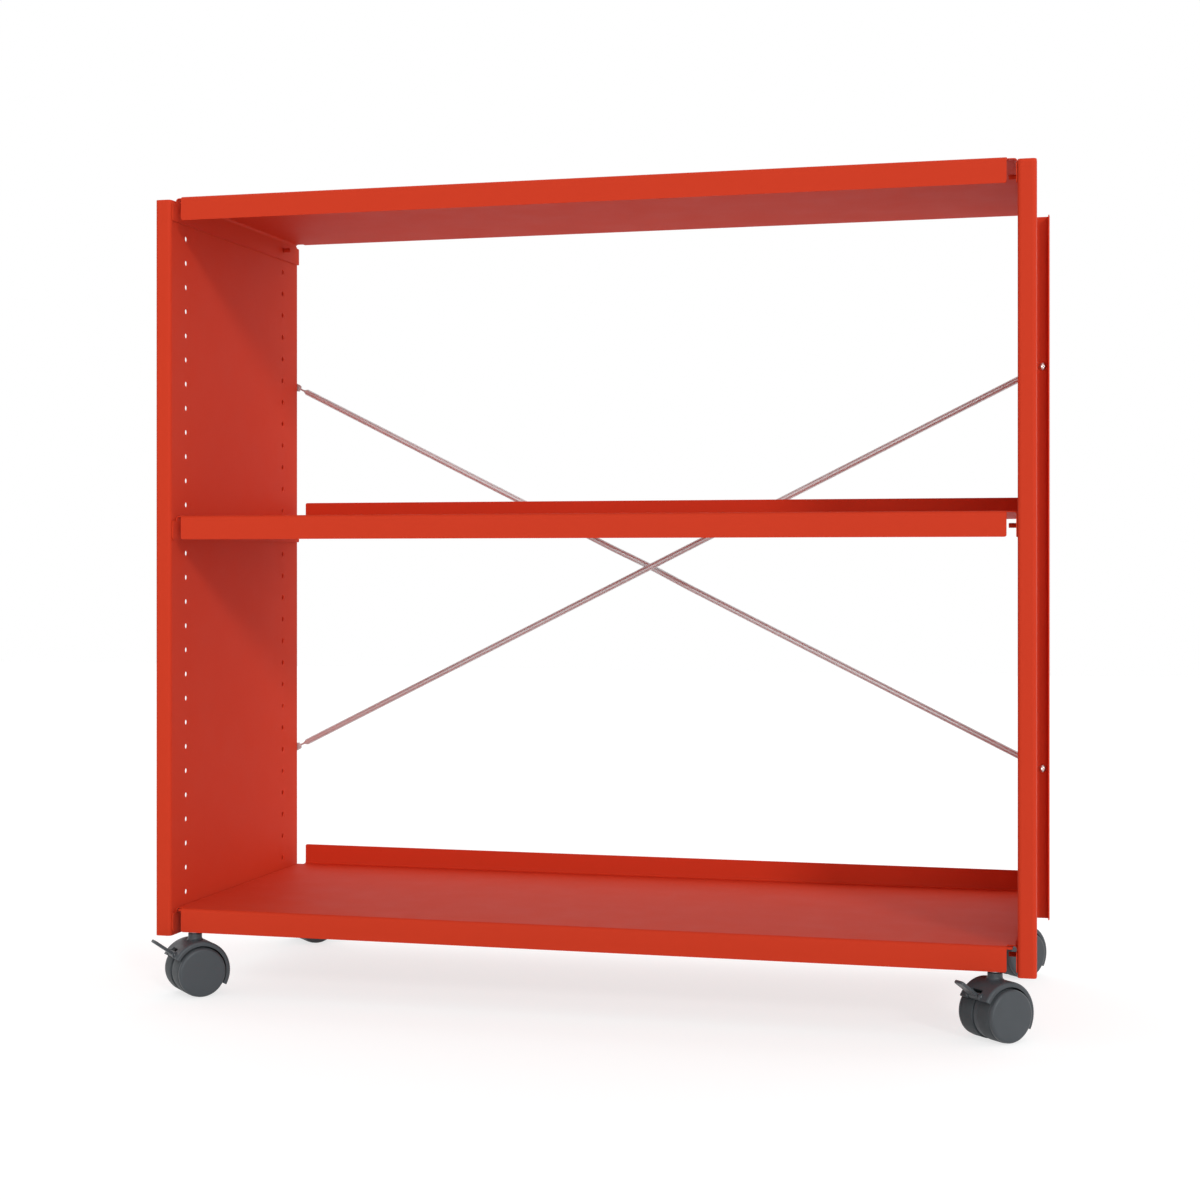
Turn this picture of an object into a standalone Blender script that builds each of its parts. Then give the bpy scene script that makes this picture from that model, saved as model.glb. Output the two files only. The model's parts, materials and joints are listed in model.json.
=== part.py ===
"""Rolling low shelving unit of folded sheet steel, on four hooded twin-wheel castors.

Metres, +Z up. The origin is on the floor under the middle of the unit, and the open front faces -Y.
Two side panels carry three equal shelf trays on bolts, two crossed rods brace the back, and each castor
turns on a stem under a corner of the bottom tray.
"""

import math
from collections import Counter

import bmesh
import bpy
from mathutils import Matrix

# Gaps
SEAT_GAP = 0.0003  # between faces that rest on each other
RUN_GAP = 0.0003  # round a pin or shaft in its hole

# Side panels
CLEAR_WIDTH = 0.846  # between the two webs
PANEL_DEPTH = 0.331
PANEL_HEIGHT = 0.750
PANEL_SHEET = 0.0012
PANEL_BEND = 0.003
FLANGE_WIDTH = 0.017
LIP_WIDTH = 0.014
HOLE_PITCH = 0.025
FIRST_HOLE = 0.015  # above the panel's lower end
LAST_HOLE_MARGIN = 0.008  # least distance from the top hole to the panel's upper end
FRONT_ROW_INSET = 0.036
REAR_ROW_INSET = 0.045

# Shelf trays
SHELF_SHEET = 0.001
SHELF_BEND = 0.003
SHELF_RECESS = 0.003  # front flange behind the panels' front plane
FLANGE_DROP = 0.024
UPSTAND_HEIGHT = 0.022
CORNER_RELIEF = 0.010  # from the web to the end of the front flange and of the upstand
RELIEF_DEPTH = 0.008
RELIEF_DROP = 0.005  # from the shelf's surface down to where the end flanges have their full length
FLANGE_CORNER = 0.002
BOLT_DROP = 0.013  # from the shelf's surface down to its bolts
MIDDLE_SHELF_HOLE = 16  # counted up from the lowest hole, which is 0

# Shelf bolts
BOLT_DIAMETER = 0.005
BOLT_HEAD_FLATS = 0.008
BOLT_HEAD_HEIGHT = 0.0032
BOLT_END = 0.0085  # past the tray's end flange

# Rear braces
ROD_DIAMETER = 0.007
ROD_CROSSING_GAP = 0.0004
CRANK_REACH = 0.055  # along the rear rod, from the crossing to where it is straight again
LUG_WIDTH = 0.008
LUG_THICKNESS = 0.0025
LUG_LENGTH = 0.0137  # from the screw's centre to the neck
NECK_DIAMETER = 0.0023
NECK_LENGTH = 0.0044
BRACE_END_INSET = 0.160  # from each end of the panel to the screws
BRACE_HOLE_OFFSET = 0.0095  # from the web's inner face out to the screws
SCREW_DIAMETER = 0.0045
SCREW_HEAD_DIAMETER = 0.0083
SCREW_HEAD_HEIGHT = 0.0025
SCREW_END = 0.0015

# Castors
CASTOR_TURN = math.radians(45)
CASTOR_INSET = 0.021  # from the web's inner face to the swivel axis
WHEEL_RADIUS = 0.025
WHEEL_GAP = 0.007  # between the two wheels of a castor
TYRE_WIDTH = 0.0158
TYRE_THICKNESS = 0.004
TYRE_ROUND = 0.0008
CAP_WIDTH = 0.0044
CAP_STEP = 0.0004  # the cap's rim stays this far off the floor
CAP_BEVEL = 0.0028
AXLE_DIAMETER = 0.006
AXLE_END_WALL = 0.004  # of the wheel's cap, over the end of the axle
HOOD_GAP = 0.004
HOOD_WALL = 0.002
HOOD_TILT = math.radians(30)  # the half-round hood is tipped back by this much
HOOD_STANDOFF = 0.004  # from the hood's crown to the panels' lower ends
WEB_CLEARANCE = 0.0006
WEB_STEP = 0.0012
WEB_END = math.radians(126)
NECK_OUTER = 0.014
NECK_HEIGHT = 0.0062
BOSS_CLEARANCE = 0.0008
STEM_DIAMETER = 0.008
SHOULDER_DIAMETER = 0.013
SHOULDER_HEIGHT = 0.0015
SOCKET_DIAMETER = 0.016
SOCKET_CLEARANCE = 0.001
SOCKET_ROOF = 0.001
PLATE_SIZE = 0.034
PLATE_THICKNESS = 0.002
PLATE_CLEARANCE = 0.0005

# Brake levers, on the two front castors
LEVER_PIVOT_ANGLE = math.radians(143)
LEVER_TILT = math.radians(36)
LEVER_LENGTH = 0.0251
LEVER_WIDTH = 0.012
LEVER_THICKNESS = 0.003
LEVER_CORNER = 0.001
LEVER_SIDE_GAP = 0.0008
HUB_WALL = 0.0012
CAM_GAP = 0.0004  # from the pressed cam to the wheels
CAM_ANGLE = math.radians(40)  # from the line to the axle, with the lever up
CAM_WIDTH = 0.003
LEVER_PIN_DIAMETER = 0.003
EAR_THICKNESS = 0.003
EAR_WALL = 0.0016
NOTCH_ABOVE = math.radians(12)  # the hood is cut away this far above the lever's pivot

# Facets
HOLE_SIDES = 8
PIN_SIDES = 10
NECK_SIDES = 14
WHEEL_SIDES = 22  # an even number that isn't a multiple of 4, so that a flat is at the bottom
HOOD_STEPS = 12
BEND_STEPS = 2
LUG_STEPS = 6
NOTCH_STEPS = 4
ROD_ROUNDING = 3
CRANK_POINTS = 9
WELD = 0.000001
SHARP_ANGLE = math.radians(35)

# Places that follow from those sizes
FRONT_PLANE = -PANEL_DEPTH / 2
REAR_PLANE = PANEL_DEPTH / 2
WEB_INNER = CLEAR_WIDTH / 2
WEB_OUTER = WEB_INNER + PANEL_SHEET
SHELF_FRONT = FRONT_PLANE + SHELF_RECESS
SHELF_END = WEB_INNER - SEAT_GAP
TYRE_INNER = WHEEL_GAP / 2
TYRE_OUTER = TYRE_INNER + TYRE_WIDTH
CAP_INNER = TYRE_OUTER + SEAT_GAP
CAP_OUTER = CAP_INNER + CAP_WIDTH
AXLE_HALF = CAP_OUTER - AXLE_END_WALL - RUN_GAP
HOOD_INNER = WHEEL_RADIUS + HOOD_GAP
HOOD_OUTER = HOOD_INNER + HOOD_WALL
HOOD_HALF_WIDTH = CAP_INNER
FACET = 1 / math.cos(math.pi / WHEEL_SIDES)  # from a polygon's flat to its corner
BOSS_BOTTOM = WHEEL_RADIUS * FACET + BOSS_CLEARANCE
NECK_TOP = HOOD_OUTER + NECK_HEIGHT
SHOULDER_BOTTOM = NECK_TOP + SEAT_GAP
SHOULDER_TOP = SHOULDER_BOTTOM + SHOULDER_HEIGHT
PANEL_BOTTOM = WHEEL_RADIUS + HOOD_OUTER + HOOD_STANDOFF
HOLES_IN_ROW = 1 + int((PANEL_HEIGHT - FIRST_HOLE - LAST_HOLE_MARGIN) / HOLE_PITCH)
SHELF_HOLES = {"bottom": 0, "middle": MIDDLE_SHELF_HOLE, "top": HOLES_IN_ROW - 1}
HOLE_ROWS = {"front": FRONT_PLANE + FRONT_ROW_INSET, "rear": REAR_PLANE - REAR_ROW_INSET}
BRACE_HOLE = WEB_INNER + BRACE_HOLE_OFFSET
BRACE_HEIGHTS = {
    "lower": PANEL_BOTTOM + BRACE_END_INSET,
    "upper": PANEL_BOTTOM + PANEL_HEIGHT - BRACE_END_INSET,
}
CASTOR_X = WEB_INNER - CASTOR_INSET
CASTOR_Y = SHELF_FRONT + SHELF_SHEET + SOCKET_CLEARANCE + SOCKET_DIAMETER / 2
PLATE_X = SHELF_END - SHELF_SHEET - SHELF_BEND - PLATE_CLEARANCE
PLATE_Y = SHELF_FRONT + SHELF_SHEET + SHELF_BEND + PLATE_CLEARANCE
PIVOT_RADIUS = HOOD_OUTER - HOOD_WALL / 2
PIVOT_X = PIVOT_RADIUS * math.cos(LEVER_PIVOT_ANGLE)
PIVOT_Z = PIVOT_RADIUS * math.sin(LEVER_PIVOT_ANGLE)
SIDES = {"left": -1, "right": 1}

# Screen colour, roughness and metallic value of each finish
FINISHES = {
    "red_powder_coat": ((200, 60, 37), 0.45, 0.0),
    "grey_rod": ((188, 190, 192), 0.4, 0.6),
    "bright_zinc": ((215, 216, 214), 0.3, 1.0),
    "slate_plastic": ((80, 86, 90), 0.5, 0.0),
    "dark_tread": ((62, 66, 70), 0.7, 0.0),
    "bare_steel": ((150, 152, 154), 0.35, 1.0),
}


def clear_scene():
    for old in list(bpy.data.objects):
        bpy.data.objects.remove(old, do_unlink=True)


def new_collection(name):
    collection = bpy.data.collections.new(name)
    bpy.context.scene.collection.children.link(collection)
    return collection


def linear(channel):
    """A screen colour channel from 0 to 255 as the linear value that a shader takes."""
    value = channel / 255
    return value / 12.92 if value <= 0.04045 else ((value + 0.055) / 1.055) ** 2.4


def new_finish(name):
    colour, roughness, metallic = FINISHES[name]
    material = bpy.data.materials.new(name)
    material.use_nodes = True
    shader = material.node_tree.nodes["Principled BSDF"]
    shader.inputs["Base Color"].default_value = (*map(linear, colour), 1)
    shader.inputs["Roughness"].default_value = roughness
    shader.inputs["Metallic"].default_value = metallic
    return material


clear_scene()
PARTS = new_collection("rolling_shelving_unit")
CUTTERS = new_collection("cutters")
MATERIALS = {name: new_finish(name) for name in FINISHES}


def add_part(name, mesh, finish, parent=None):
    part = bpy.data.objects.new(name, mesh)
    part.parent = parent
    if not mesh.materials:
        mesh.materials.append(MATERIALS[finish])
    PARTS.objects.link(part)
    return part


def add_helper(name, data):
    """An object that shapes a part and isn't one itself."""
    helper = bpy.data.objects.new(name, data)
    helper.hide_render = True
    CUTTERS.objects.link(helper)
    if helper.type == "MESH":
        helper.display_type = "WIRE"
    return helper


def add_boolean(target, operation, other):
    modifier = target.modifiers.new(other.name, "BOOLEAN")
    modifier.operation = operation
    modifier.solver = "EXACT"
    modifier.object = other


def finished_mesh(helper, smooth=True):
    """The helper's mesh as its modifiers leave it, welded and facing out. The helper is removed."""
    bpy.context.view_layer.update()
    graph = bpy.context.evaluated_depsgraph_get()
    mesh = bpy.data.meshes.new_from_object(helper.evaluated_get(graph))
    mesh.name = helper.name
    bpy.data.objects.remove(helper, do_unlink=True)
    bm = bmesh.new()
    bm.from_mesh(mesh)
    bmesh.ops.remove_doubles(bm, verts=bm.verts, dist=WELD)
    bmesh.ops.recalc_face_normals(bm, faces=bm.faces)
    return mesh_of(bm, mesh, smooth)


def mesh_of(bm, mesh, smooth=True):
    """Writes bm into the mesh, smooth between sharp edges where it is a round piece."""
    bm.to_mesh(mesh)
    bm.free()
    if smooth:
        mesh.shade_smooth()
        mesh.set_sharp_from_angle(angle=SHARP_ANGLE)
    return mesh


def combined(name, base, joined=(), cut=()):
    """One solid: the base mesh with the joined meshes added, and then the cut meshes taken away."""
    body = add_helper(name, base)
    tools = [("UNION", mesh) for mesh in joined] + [("DIFFERENCE", mesh) for mesh in cut]
    helpers = []
    for operation, mesh in tools:
        helpers.append(add_helper(mesh.name, mesh))
        add_boolean(body, operation, helpers[-1])
    mesh = finished_mesh(body)
    for helper in helpers:
        bpy.data.objects.remove(helper, do_unlink=True)
    return mesh


def bar(name, radius, low, high, sides, place=Matrix.Identity(4)):
    """A straight bar along Z from low to high, then placed."""
    bm = bmesh.new()
    place = place @ Matrix.Translation((0, 0, (low + high) / 2))
    depth = high - low
    bmesh.ops.create_cone(
        bm, cap_ends=True, segments=sides, radius1=radius, radius2=radius, depth=depth, matrix=place
    )
    return mesh_of(bm, bpy.data.meshes.new(name))


def block(name, low, high):
    """A box between two corners."""
    bm = bmesh.new()
    size = [b - a for a, b in zip(low, high)]
    middle = [(a + b) / 2 for a, b in zip(low, high)]
    bmesh.ops.create_cube(bm, size=1, matrix=Matrix.Translation(middle) @ Matrix.Diagonal((*size, 1)))
    return mesh_of(bm, bpy.data.meshes.new(name))


def bore(diameter, sides):
    """The corner radius of a many-sided hole that clears a round pin of this diameter."""
    return (diameter / 2 + RUN_GAP) / math.cos(math.pi / sides)


ALONG_X = Matrix.Rotation(math.pi / 2, 4, "Y")
ALONG_Y = Matrix.Rotation(-math.pi / 2, 4, "X")


def turned(name, profile, steps, ring=False):
    """A profile of (radius, height) points turned about Z. A ring's profile closes on itself."""
    bm = bmesh.new()
    points = [bm.verts.new((radius, 0, height)) for radius, height in profile]
    pairs = list(zip(points, points[1:]))
    if ring:
        pairs.append((points[-1], points[0]))
    for pair in pairs:
        bm.edges.new(pair)
    helper = add_helper(name, mesh_of(bm, bpy.data.meshes.new(name)))
    screw = helper.modifiers.new("turn", "SCREW")
    screw.steps = screw.render_steps = steps
    screw.use_merge_vertices = True
    screw.merge_threshold = WELD
    return finished_mesh(helper)


def plate(name, outline, thickness, shift=0):
    """A flat plate with this outline in the XZ plane, its thickness centred on Y = shift."""
    curve = bpy.data.curves.new(name, "CURVE")
    curve.dimensions = "2D"
    curve.fill_mode = "BOTH"
    curve.extrude = thickness / 2
    spline = curve.splines.new("POLY")
    spline.points.add(len(outline) - 1)
    spline.use_cyclic_u = True
    for point, (x, z) in zip(spline.points, outline):
        point.co = (x, z, 0, 1)
    mesh = finished_mesh(add_helper(name, curve))
    mesh.transform(Matrix.Translation((0, shift, 0)) @ Matrix.Rotation(math.pi / 2, 4, "X"))
    return mesh


def arc(radius, start, end, steps, centre=(0, 0)):
    """Points of an arc in the XZ plane, from angle start to angle end."""
    angles = [start + (end - start) * step / steps for step in range(steps + 1)]
    return [(centre[0] + radius * math.cos(a), centre[1] + radius * math.sin(a)) for a in angles]


def fold_sheet(part, bend, sheet):
    """Rounds the folds of an open surface and gives it the sheet's thickness."""
    folds = part.modifiers.new("folds", "BEVEL")
    folds.width = bend
    folds.segments = BEND_STEPS
    folds.limit_method = "ANGLE"
    thickness = part.modifiers.new("sheet", "SOLIDIFY")
    thickness.thickness = sheet
    thickness.offset = 0
    thickness.use_even_offset = True


def add_cutter(name, bars):
    """One cutter made of several bars, each given as its radius, length and place."""
    bm = bmesh.new()
    for radius, length, place in bars:
        bmesh.ops.create_cone(
            bm, cap_ends=True, segments=HOLE_SIDES, radius1=radius, radius2=radius, depth=length, matrix=place
        )
    return add_helper(name, mesh_of(bm, bpy.data.meshes.new(name)))


def add_side_panel(side):
    """A C-section open to the outside: the web with its holes, two flanges and their return lips."""
    sign = SIDES[side]
    web = sign * (WEB_INNER + PANEL_SHEET / 2)
    lip = sign * (WEB_INNER + FLANGE_WIDTH - PANEL_SHEET / 2)
    flange = REAR_PLANE - PANEL_SHEET / 2
    lip_end = REAR_PLANE - LIP_WIDTH
    section = [(lip, -lip_end), (lip, -flange), (web, -flange), (web, flange), (lip, flange), (lip, lip_end)]
    bm = bmesh.new()
    points = [bm.verts.new((x, y, 0)) for x, y in section]
    edges = [bm.edges.new(pair) for pair in zip(points, points[1:])]
    grown = bmesh.ops.extrude_edge_only(bm, edges=edges)["geom"]
    top = [item for item in grown if isinstance(item, bmesh.types.BMVert)]
    bmesh.ops.translate(bm, verts=top, vec=(0, 0, PANEL_HEIGHT))
    bmesh.ops.recalc_face_normals(bm, faces=bm.faces)
    name = f"{side}_side_panel"
    panel = add_part(name, mesh_of(bm, bpy.data.meshes.new(name), smooth=False), "red_powder_coat")
    panel.location.z = PANEL_BOTTOM
    fold_sheet(panel, PANEL_BEND, PANEL_SHEET)
    through = 4 * PANEL_SHEET
    bolt_bore, screw_bore = bore(BOLT_DIAMETER, HOLE_SIDES), bore(SCREW_DIAMETER, HOLE_SIDES)
    shelf_holes = [
        (bolt_bore, through, Matrix.Translation((web, row, hole_height(step))) @ ALONG_X)
        for row in HOLE_ROWS.values()
        for step in range(HOLES_IN_ROW)
    ]
    brace_holes = [
        (screw_bore, through, Matrix.Translation((sign * BRACE_HOLE, flange, height)) @ ALONG_Y)
        for height in BRACE_HEIGHTS.values()
    ]
    add_boolean(panel, "DIFFERENCE", add_cutter(f"{side}_panel_holes", shelf_holes + brace_holes))


def hole_height(step):
    return PANEL_BOTTOM + FIRST_HOLE + step * HOLE_PITCH


def shelf_height(shelf):
    """The height of a shelf's upper surface, set by the hole that its bolts go through."""
    return hole_height(SHELF_HOLES[shelf]) + BOLT_DROP


def grow(bm, edges, shift):
    """Adds a face along each of these edges by moving a copy of the edge. Gives the moved edges."""
    grown = bmesh.ops.extrude_edge_only(bm, edges=edges)["geom"]
    rim = [item for item in grown if isinstance(item, bmesh.types.BMVert)]
    bmesh.ops.translate(bm, verts=rim, vec=shift)
    return [item for item in grown if isinstance(item, bmesh.types.BMEdge)]


def edges_at(bm, places, below=math.inf):
    """The edges with both ends below a height and at these coordinates, which are given by axis."""

    def fits(point):
        return point.z < below and all(abs(point[axis] - place) < WELD for axis, place in places.items())

    return [edge for edge in bm.edges if all(fits(vert.co) for vert in edge.verts)]


def shelf_surface():
    """The tray's middle surface: a grid without its corner cells, with the four sides folded.

    The end flanges are as long as their folds at first, and lower down as long as the tray is deep.
    """
    end = SHELF_END - SHELF_SHEET / 2
    inner = WEB_INNER - CORNER_RELIEF
    front = SHELF_FRONT + SHELF_SHEET / 2
    rear = REAR_PLANE - SHELF_SHEET / 2
    columns = [-end, -inner, inner, end]
    rows = [front, front + RELIEF_DEPTH, rear - RELIEF_DEPTH, rear]
    bm = bmesh.new()
    bmesh.ops.create_grid(bm, x_segments=3, y_segments=3, size=1)
    corners = [face for face in bm.faces if min(map(abs, face.calc_center_median()[:2])) > 0.5]
    bmesh.ops.delete(bm, geom=corners, context="FACES")
    level = -SHELF_SHEET / 2
    for point in bm.verts:
        column, row = (round(1.5 * (value + 1)) for value in point.co[:2])
        point.co = (columns[column], rows[row], level)
    relief = -RELIEF_DROP - level
    drop = -FLANGE_DROP - level
    grow(bm, edges_at(bm, {1: front}), (0, 0, drop))
    grow(bm, edges_at(bm, {1: rear}), (0, 0, UPSTAND_HEIGHT - level))
    for x in (-end, end):
        fold_end = grow(bm, edges_at(bm, {0: x}), (0, 0, relief))
        grow(bm, fold_end, (0, 0, drop - relief))
        for fold_corner, tray_corner in ((rows[1], front), (rows[2], rear)):
            upright = edges_at(bm, {0: x, 1: fold_corner}, below=level - WELD)
            grow(bm, upright, (0, tray_corner - fold_corner, 0))
    bmesh.ops.recalc_face_normals(bm, faces=bm.faces)
    return mesh_of(bm, bpy.data.meshes.new("shelf_tray"), smooth=False)


def shelf_mesh():
    """One folded tray with rounded flange corners and its four bolt holes, its surface at Z = 0."""
    tray = add_helper("shelf_tray", shelf_surface())
    uses = Counter(index for face in tray.data.polygons for index in face.vertices)
    free = [index for index, faces in uses.items() if faces == 1]
    tray.vertex_groups.new(name="flange_corners").add(free, 1, "REPLACE")
    corners = tray.modifiers.new("flange_corners", "BEVEL")
    corners.affect = "VERTICES"
    corners.width = FLANGE_CORNER
    corners.segments = BEND_STEPS
    corners.limit_method = "VGROUP"
    corners.vertex_group = "flange_corners"
    fold_sheet(tray, SHELF_BEND, SHELF_SHEET)
    holes = [
        (bore(BOLT_DIAMETER, HOLE_SIDES), CLEAR_WIDTH, Matrix.Translation((0, row, -BOLT_DROP)) @ ALONG_X)
        for row in HOLE_ROWS.values()
    ]
    cutter = add_cutter("shelf_holes", holes)
    add_boolean(tray, "DIFFERENCE", cutter)
    mesh = finished_mesh(tray, smooth=False)
    bpy.data.objects.remove(cutter, do_unlink=True)
    return mesh


def bolt_mesh():
    """A hexagon bolt along Z, its head's seat at Z = 0."""
    length = SEAT_GAP + PANEL_SHEET + SEAT_GAP + SHELF_SHEET + BOLT_END
    head = bar("bolt_head", BOLT_HEAD_FLATS / math.sqrt(3), 0, BOLT_HEAD_HEIGHT, 6)
    shank = bar("bolt_shank", BOLT_DIAMETER / 2, -length, BOLT_HEAD_HEIGHT / 2, PIN_SIDES)
    return combined("shelf_bolt", head, joined=[shank])


def add_shelves():
    tray, bolt = shelf_mesh(), bolt_mesh()
    for shelf, step in SHELF_HOLES.items():
        part = add_part(f"{shelf}_shelf", tray, "red_powder_coat")
        part.location.z = shelf_height(shelf)
        for row, y in HOLE_ROWS.items():
            for side, sign in SIDES.items():
                part = add_part(f"{shelf}_shelf_{row}_{side}_bolt", bolt, "bright_zinc")
                part.location = (sign * (WEB_OUTER + SEAT_GAP), y, hole_height(step))
                part.rotation_euler.y = sign * math.pi / 2


def brace_mesh(name, length, crank):
    """A rod along X between two screws, cranked back at its middle. Y = 0 is the unit's rear plane."""
    end = length / 2 - LUG_LENGTH
    rod_end = end - NECK_LENGTH
    axis = SEAT_GAP + ROD_DIAMETER / 2
    lug_middle = SEAT_GAP + LUG_THICKNESS / 2
    curve = bpy.data.curves.new(name, "CURVE")
    curve.dimensions = "3D"
    curve.bevel_depth = ROD_DIAMETER / 2
    curve.bevel_resolution = ROD_ROUNDING
    curve.use_fill_caps = True
    spline = curve.splines.new("POLY")
    shares = [2 * step / (CRANK_POINTS - 1) - 1 for step in range(CRANK_POINTS)] if crank else []
    bends = [(CRANK_REACH * share, axis + crank * (1 + math.cos(math.pi * share)) / 2) for share in shares]
    line = [(-rod_end, axis), *bends, (rod_end, axis)]
    spline.points.add(len(line) - 1)
    for point, (x, y) in zip(spline.points, line):
        point.co = (x, y, 0, 1)
    ends, holes = [], []
    for sign in (-1, 1):
        tip = arc(LUG_WIDTH / 2, -math.pi / 2, math.pi / 2, LUG_STEPS, centre=(length / 2, 0))
        outline = [(end, -LUG_WIDTH / 2), *tip, (end, LUG_WIDTH / 2)]
        lug = plate(f"{name}_lug", [(sign * x, z) for x, z in outline], LUG_THICKNESS, lug_middle)
        place = Matrix.Translation((sign * (end + rod_end) / 2, lug_middle, 0)) @ ALONG_X
        neck = bar(f"{name}_neck", NECK_DIAMETER / 2, -NECK_LENGTH, NECK_LENGTH, HOLE_SIDES, place)
        ends += [neck, lug]
        place = Matrix.Translation((sign * length / 2, lug_middle, 0)) @ ALONG_Y
        hole = bore(SCREW_DIAMETER, HOLE_SIDES)
        holes.append(bar(f"{name}_hole", hole, -LUG_THICKNESS, LUG_THICKNESS, HOLE_SIDES, place))
    return combined(name, finished_mesh(add_helper(name, curve)), joined=ends, cut=holes)


def add_braces():
    """The two crossed rods. The falling one is cranked round the rising one, which is straight."""
    rise = BRACE_HEIGHTS["upper"] - BRACE_HEIGHTS["lower"]
    run = 2 * BRACE_HOLE
    crank = ROD_DIAMETER + ROD_CROSSING_GAP
    for name, slope, offset in (("rising_brace", 1, 0), ("falling_brace", -1, crank)):
        brace = add_part(name, brace_mesh(name, math.hypot(run, rise), offset), "grey_rod")
        brace.location = (0, REAR_PLANE, sum(BRACE_HEIGHTS.values()) / 2)
        brace.rotation_euler.y = -slope * math.atan2(rise, run)


def add_brace_screws():
    """Round-headed screws from the inside of the rear flanges into the lugs behind them."""
    head, shank = SCREW_HEAD_DIAMETER / 2, SCREW_DIAMETER / 2
    length = SEAT_GAP + PANEL_SHEET + SEAT_GAP + LUG_THICKNESS + SCREW_END
    profile = [
        (0, SCREW_HEAD_HEIGHT),
        (head - SCREW_HEAD_HEIGHT / 2, SCREW_HEAD_HEIGHT),
        (head, SCREW_HEAD_HEIGHT / 2),
        (head, 0),
        (shank, 0),
        (shank, -length),
        (0, -length),
    ]
    screw = turned("brace_screw", profile, PIN_SIDES)
    for side, sign in SIDES.items():
        for level, height in BRACE_HEIGHTS.items():
            part = add_part(f"{side}_{level}_brace_screw", screw, "bright_zinc")
            part.location = (sign * BRACE_HOLE, REAR_PLANE - PANEL_SHEET - SEAT_GAP, height)
            part.rotation_euler.x = math.pi / 2


def hood_mesh(with_lever):
    """The hood about the axle: half-round shell, web between the wheels, neck and, for a lever, two ears."""
    low, high = -HOOD_TILT, math.pi - HOOD_TILT
    width = 2 * HOOD_HALF_WIDTH
    shell_outline = arc(HOOD_OUTER, low, high, HOOD_STEPS) + arc(HOOD_INNER, high, low, HOOD_STEPS)
    shell = plate("hood_shell", shell_outline, width)
    web_outline = arc(PIVOT_RADIUS, low, WEB_END, HOOD_STEPS)
    web_outline += arc(WHEEL_RADIUS - WEB_STEP, WEB_END, low + 2 * math.pi, HOOD_STEPS)
    web = plate("hood_web", web_outline, WHEEL_GAP - 2 * WEB_CLEARANCE)
    neck = bar("hood_neck", NECK_OUTER / 2, BOSS_BOTTOM, NECK_TOP, NECK_SIDES)
    stem_bore = bar("stem_bore", bore(STEM_DIAMETER, NECK_SIDES), BOSS_BOTTOM, 2 * NECK_TOP, NECK_SIDES)
    axle_bore = bar("axle_bore", bore(AXLE_DIAMETER, PIN_SIDES), -WHEEL_GAP, WHEEL_GAP, PIN_SIDES, ALONG_Y)
    joined, cut = [web, neck], [stem_bore, axle_bore]
    if with_lever:
        notch_half = LEVER_WIDTH / 2 + LEVER_SIDE_GAP
        top = LEVER_PIVOT_ANGLE - NOTCH_ABOVE
        notch_outline = arc(2 * HOOD_OUTER, top, math.pi, NOTCH_STEPS)
        notch_outline += arc(WHEEL_RADIUS, math.pi, top, NOTCH_STEPS)
        notch = plate("hood_notch", notch_outline, 2 * notch_half)
        pivot = Matrix.Translation((PIVOT_X, 0, PIVOT_Z)) @ ALONG_Y
        ear_radius = LEVER_PIN_DIAMETER / 2 + RUN_GAP + EAR_WALL
        for sign in (-1, 1):
            inner, outer = sorted((sign * notch_half, sign * (notch_half + EAR_THICKNESS)))
            joined.append(bar("hood_ear", ear_radius, inner, outer, NECK_SIDES, pivot))
        pin_bore = bore(LEVER_PIN_DIAMETER, PIN_SIDES)
        cut += [notch, bar("pin_bore", pin_bore, -HOOD_HALF_WIDTH, HOOD_HALF_WIDTH, PIN_SIDES, pivot)]
    return combined("lever_hood" if with_lever else "plain_hood", shell, joined, cut)


def lever_mesh():
    """The brake lever about its pivot: hub, arm pointing out along -X and up, and the cam under the hub."""
    hub_radius = LEVER_PIN_DIAMETER / 2 + RUN_GAP + HUB_WALL
    hub = bar("lever_hub", hub_radius, -LEVER_WIDTH / 2, LEVER_WIDTH / 2, NECK_SIDES, ALONG_Y)
    turn = Matrix.Rotation(LEVER_TILT, 4, "Y")
    half = LEVER_WIDTH / 2
    corner = half - LEVER_CORNER
    tip = LEVER_CORNER - LEVER_LENGTH
    outline = [(0, half), *arc(LEVER_CORNER, math.pi / 2, math.pi, BEND_STEPS, centre=(tip, corner))]
    outline += arc(LEVER_CORNER, math.pi, 1.5 * math.pi, BEND_STEPS, centre=(tip, -corner))
    outline.append((0, -half))
    arm = plate("lever_arm", outline, LEVER_THICKNESS)
    arm.transform(turn @ Matrix.Rotation(math.pi / 2, 4, "X"))
    reach = PIVOT_RADIUS - WHEEL_RADIUS * FACET - CAM_GAP
    to_axle = LEVER_PIVOT_ANGLE + math.pi
    direction = to_axle - CAM_ANGLE
    side = Matrix.Rotation(-direction, 4, "Y")
    nose_outline = [(0, CAM_WIDTH / 2), (0, -CAM_WIDTH / 2), (reach, -CAM_WIDTH / 4), (reach, CAM_WIDTH / 4)]
    nose = plate("lever_cam", nose_outline, LEVER_WIDTH)
    nose.transform(side)
    hole = bore(LEVER_PIN_DIAMETER, PIN_SIDES)
    pin_bore = bar("lever_bore", hole, -LEVER_WIDTH, LEVER_WIDTH, PIN_SIDES, ALONG_Y)
    return combined("brake_lever", hub, joined=[arm, nose], cut=[pin_bore])


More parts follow.
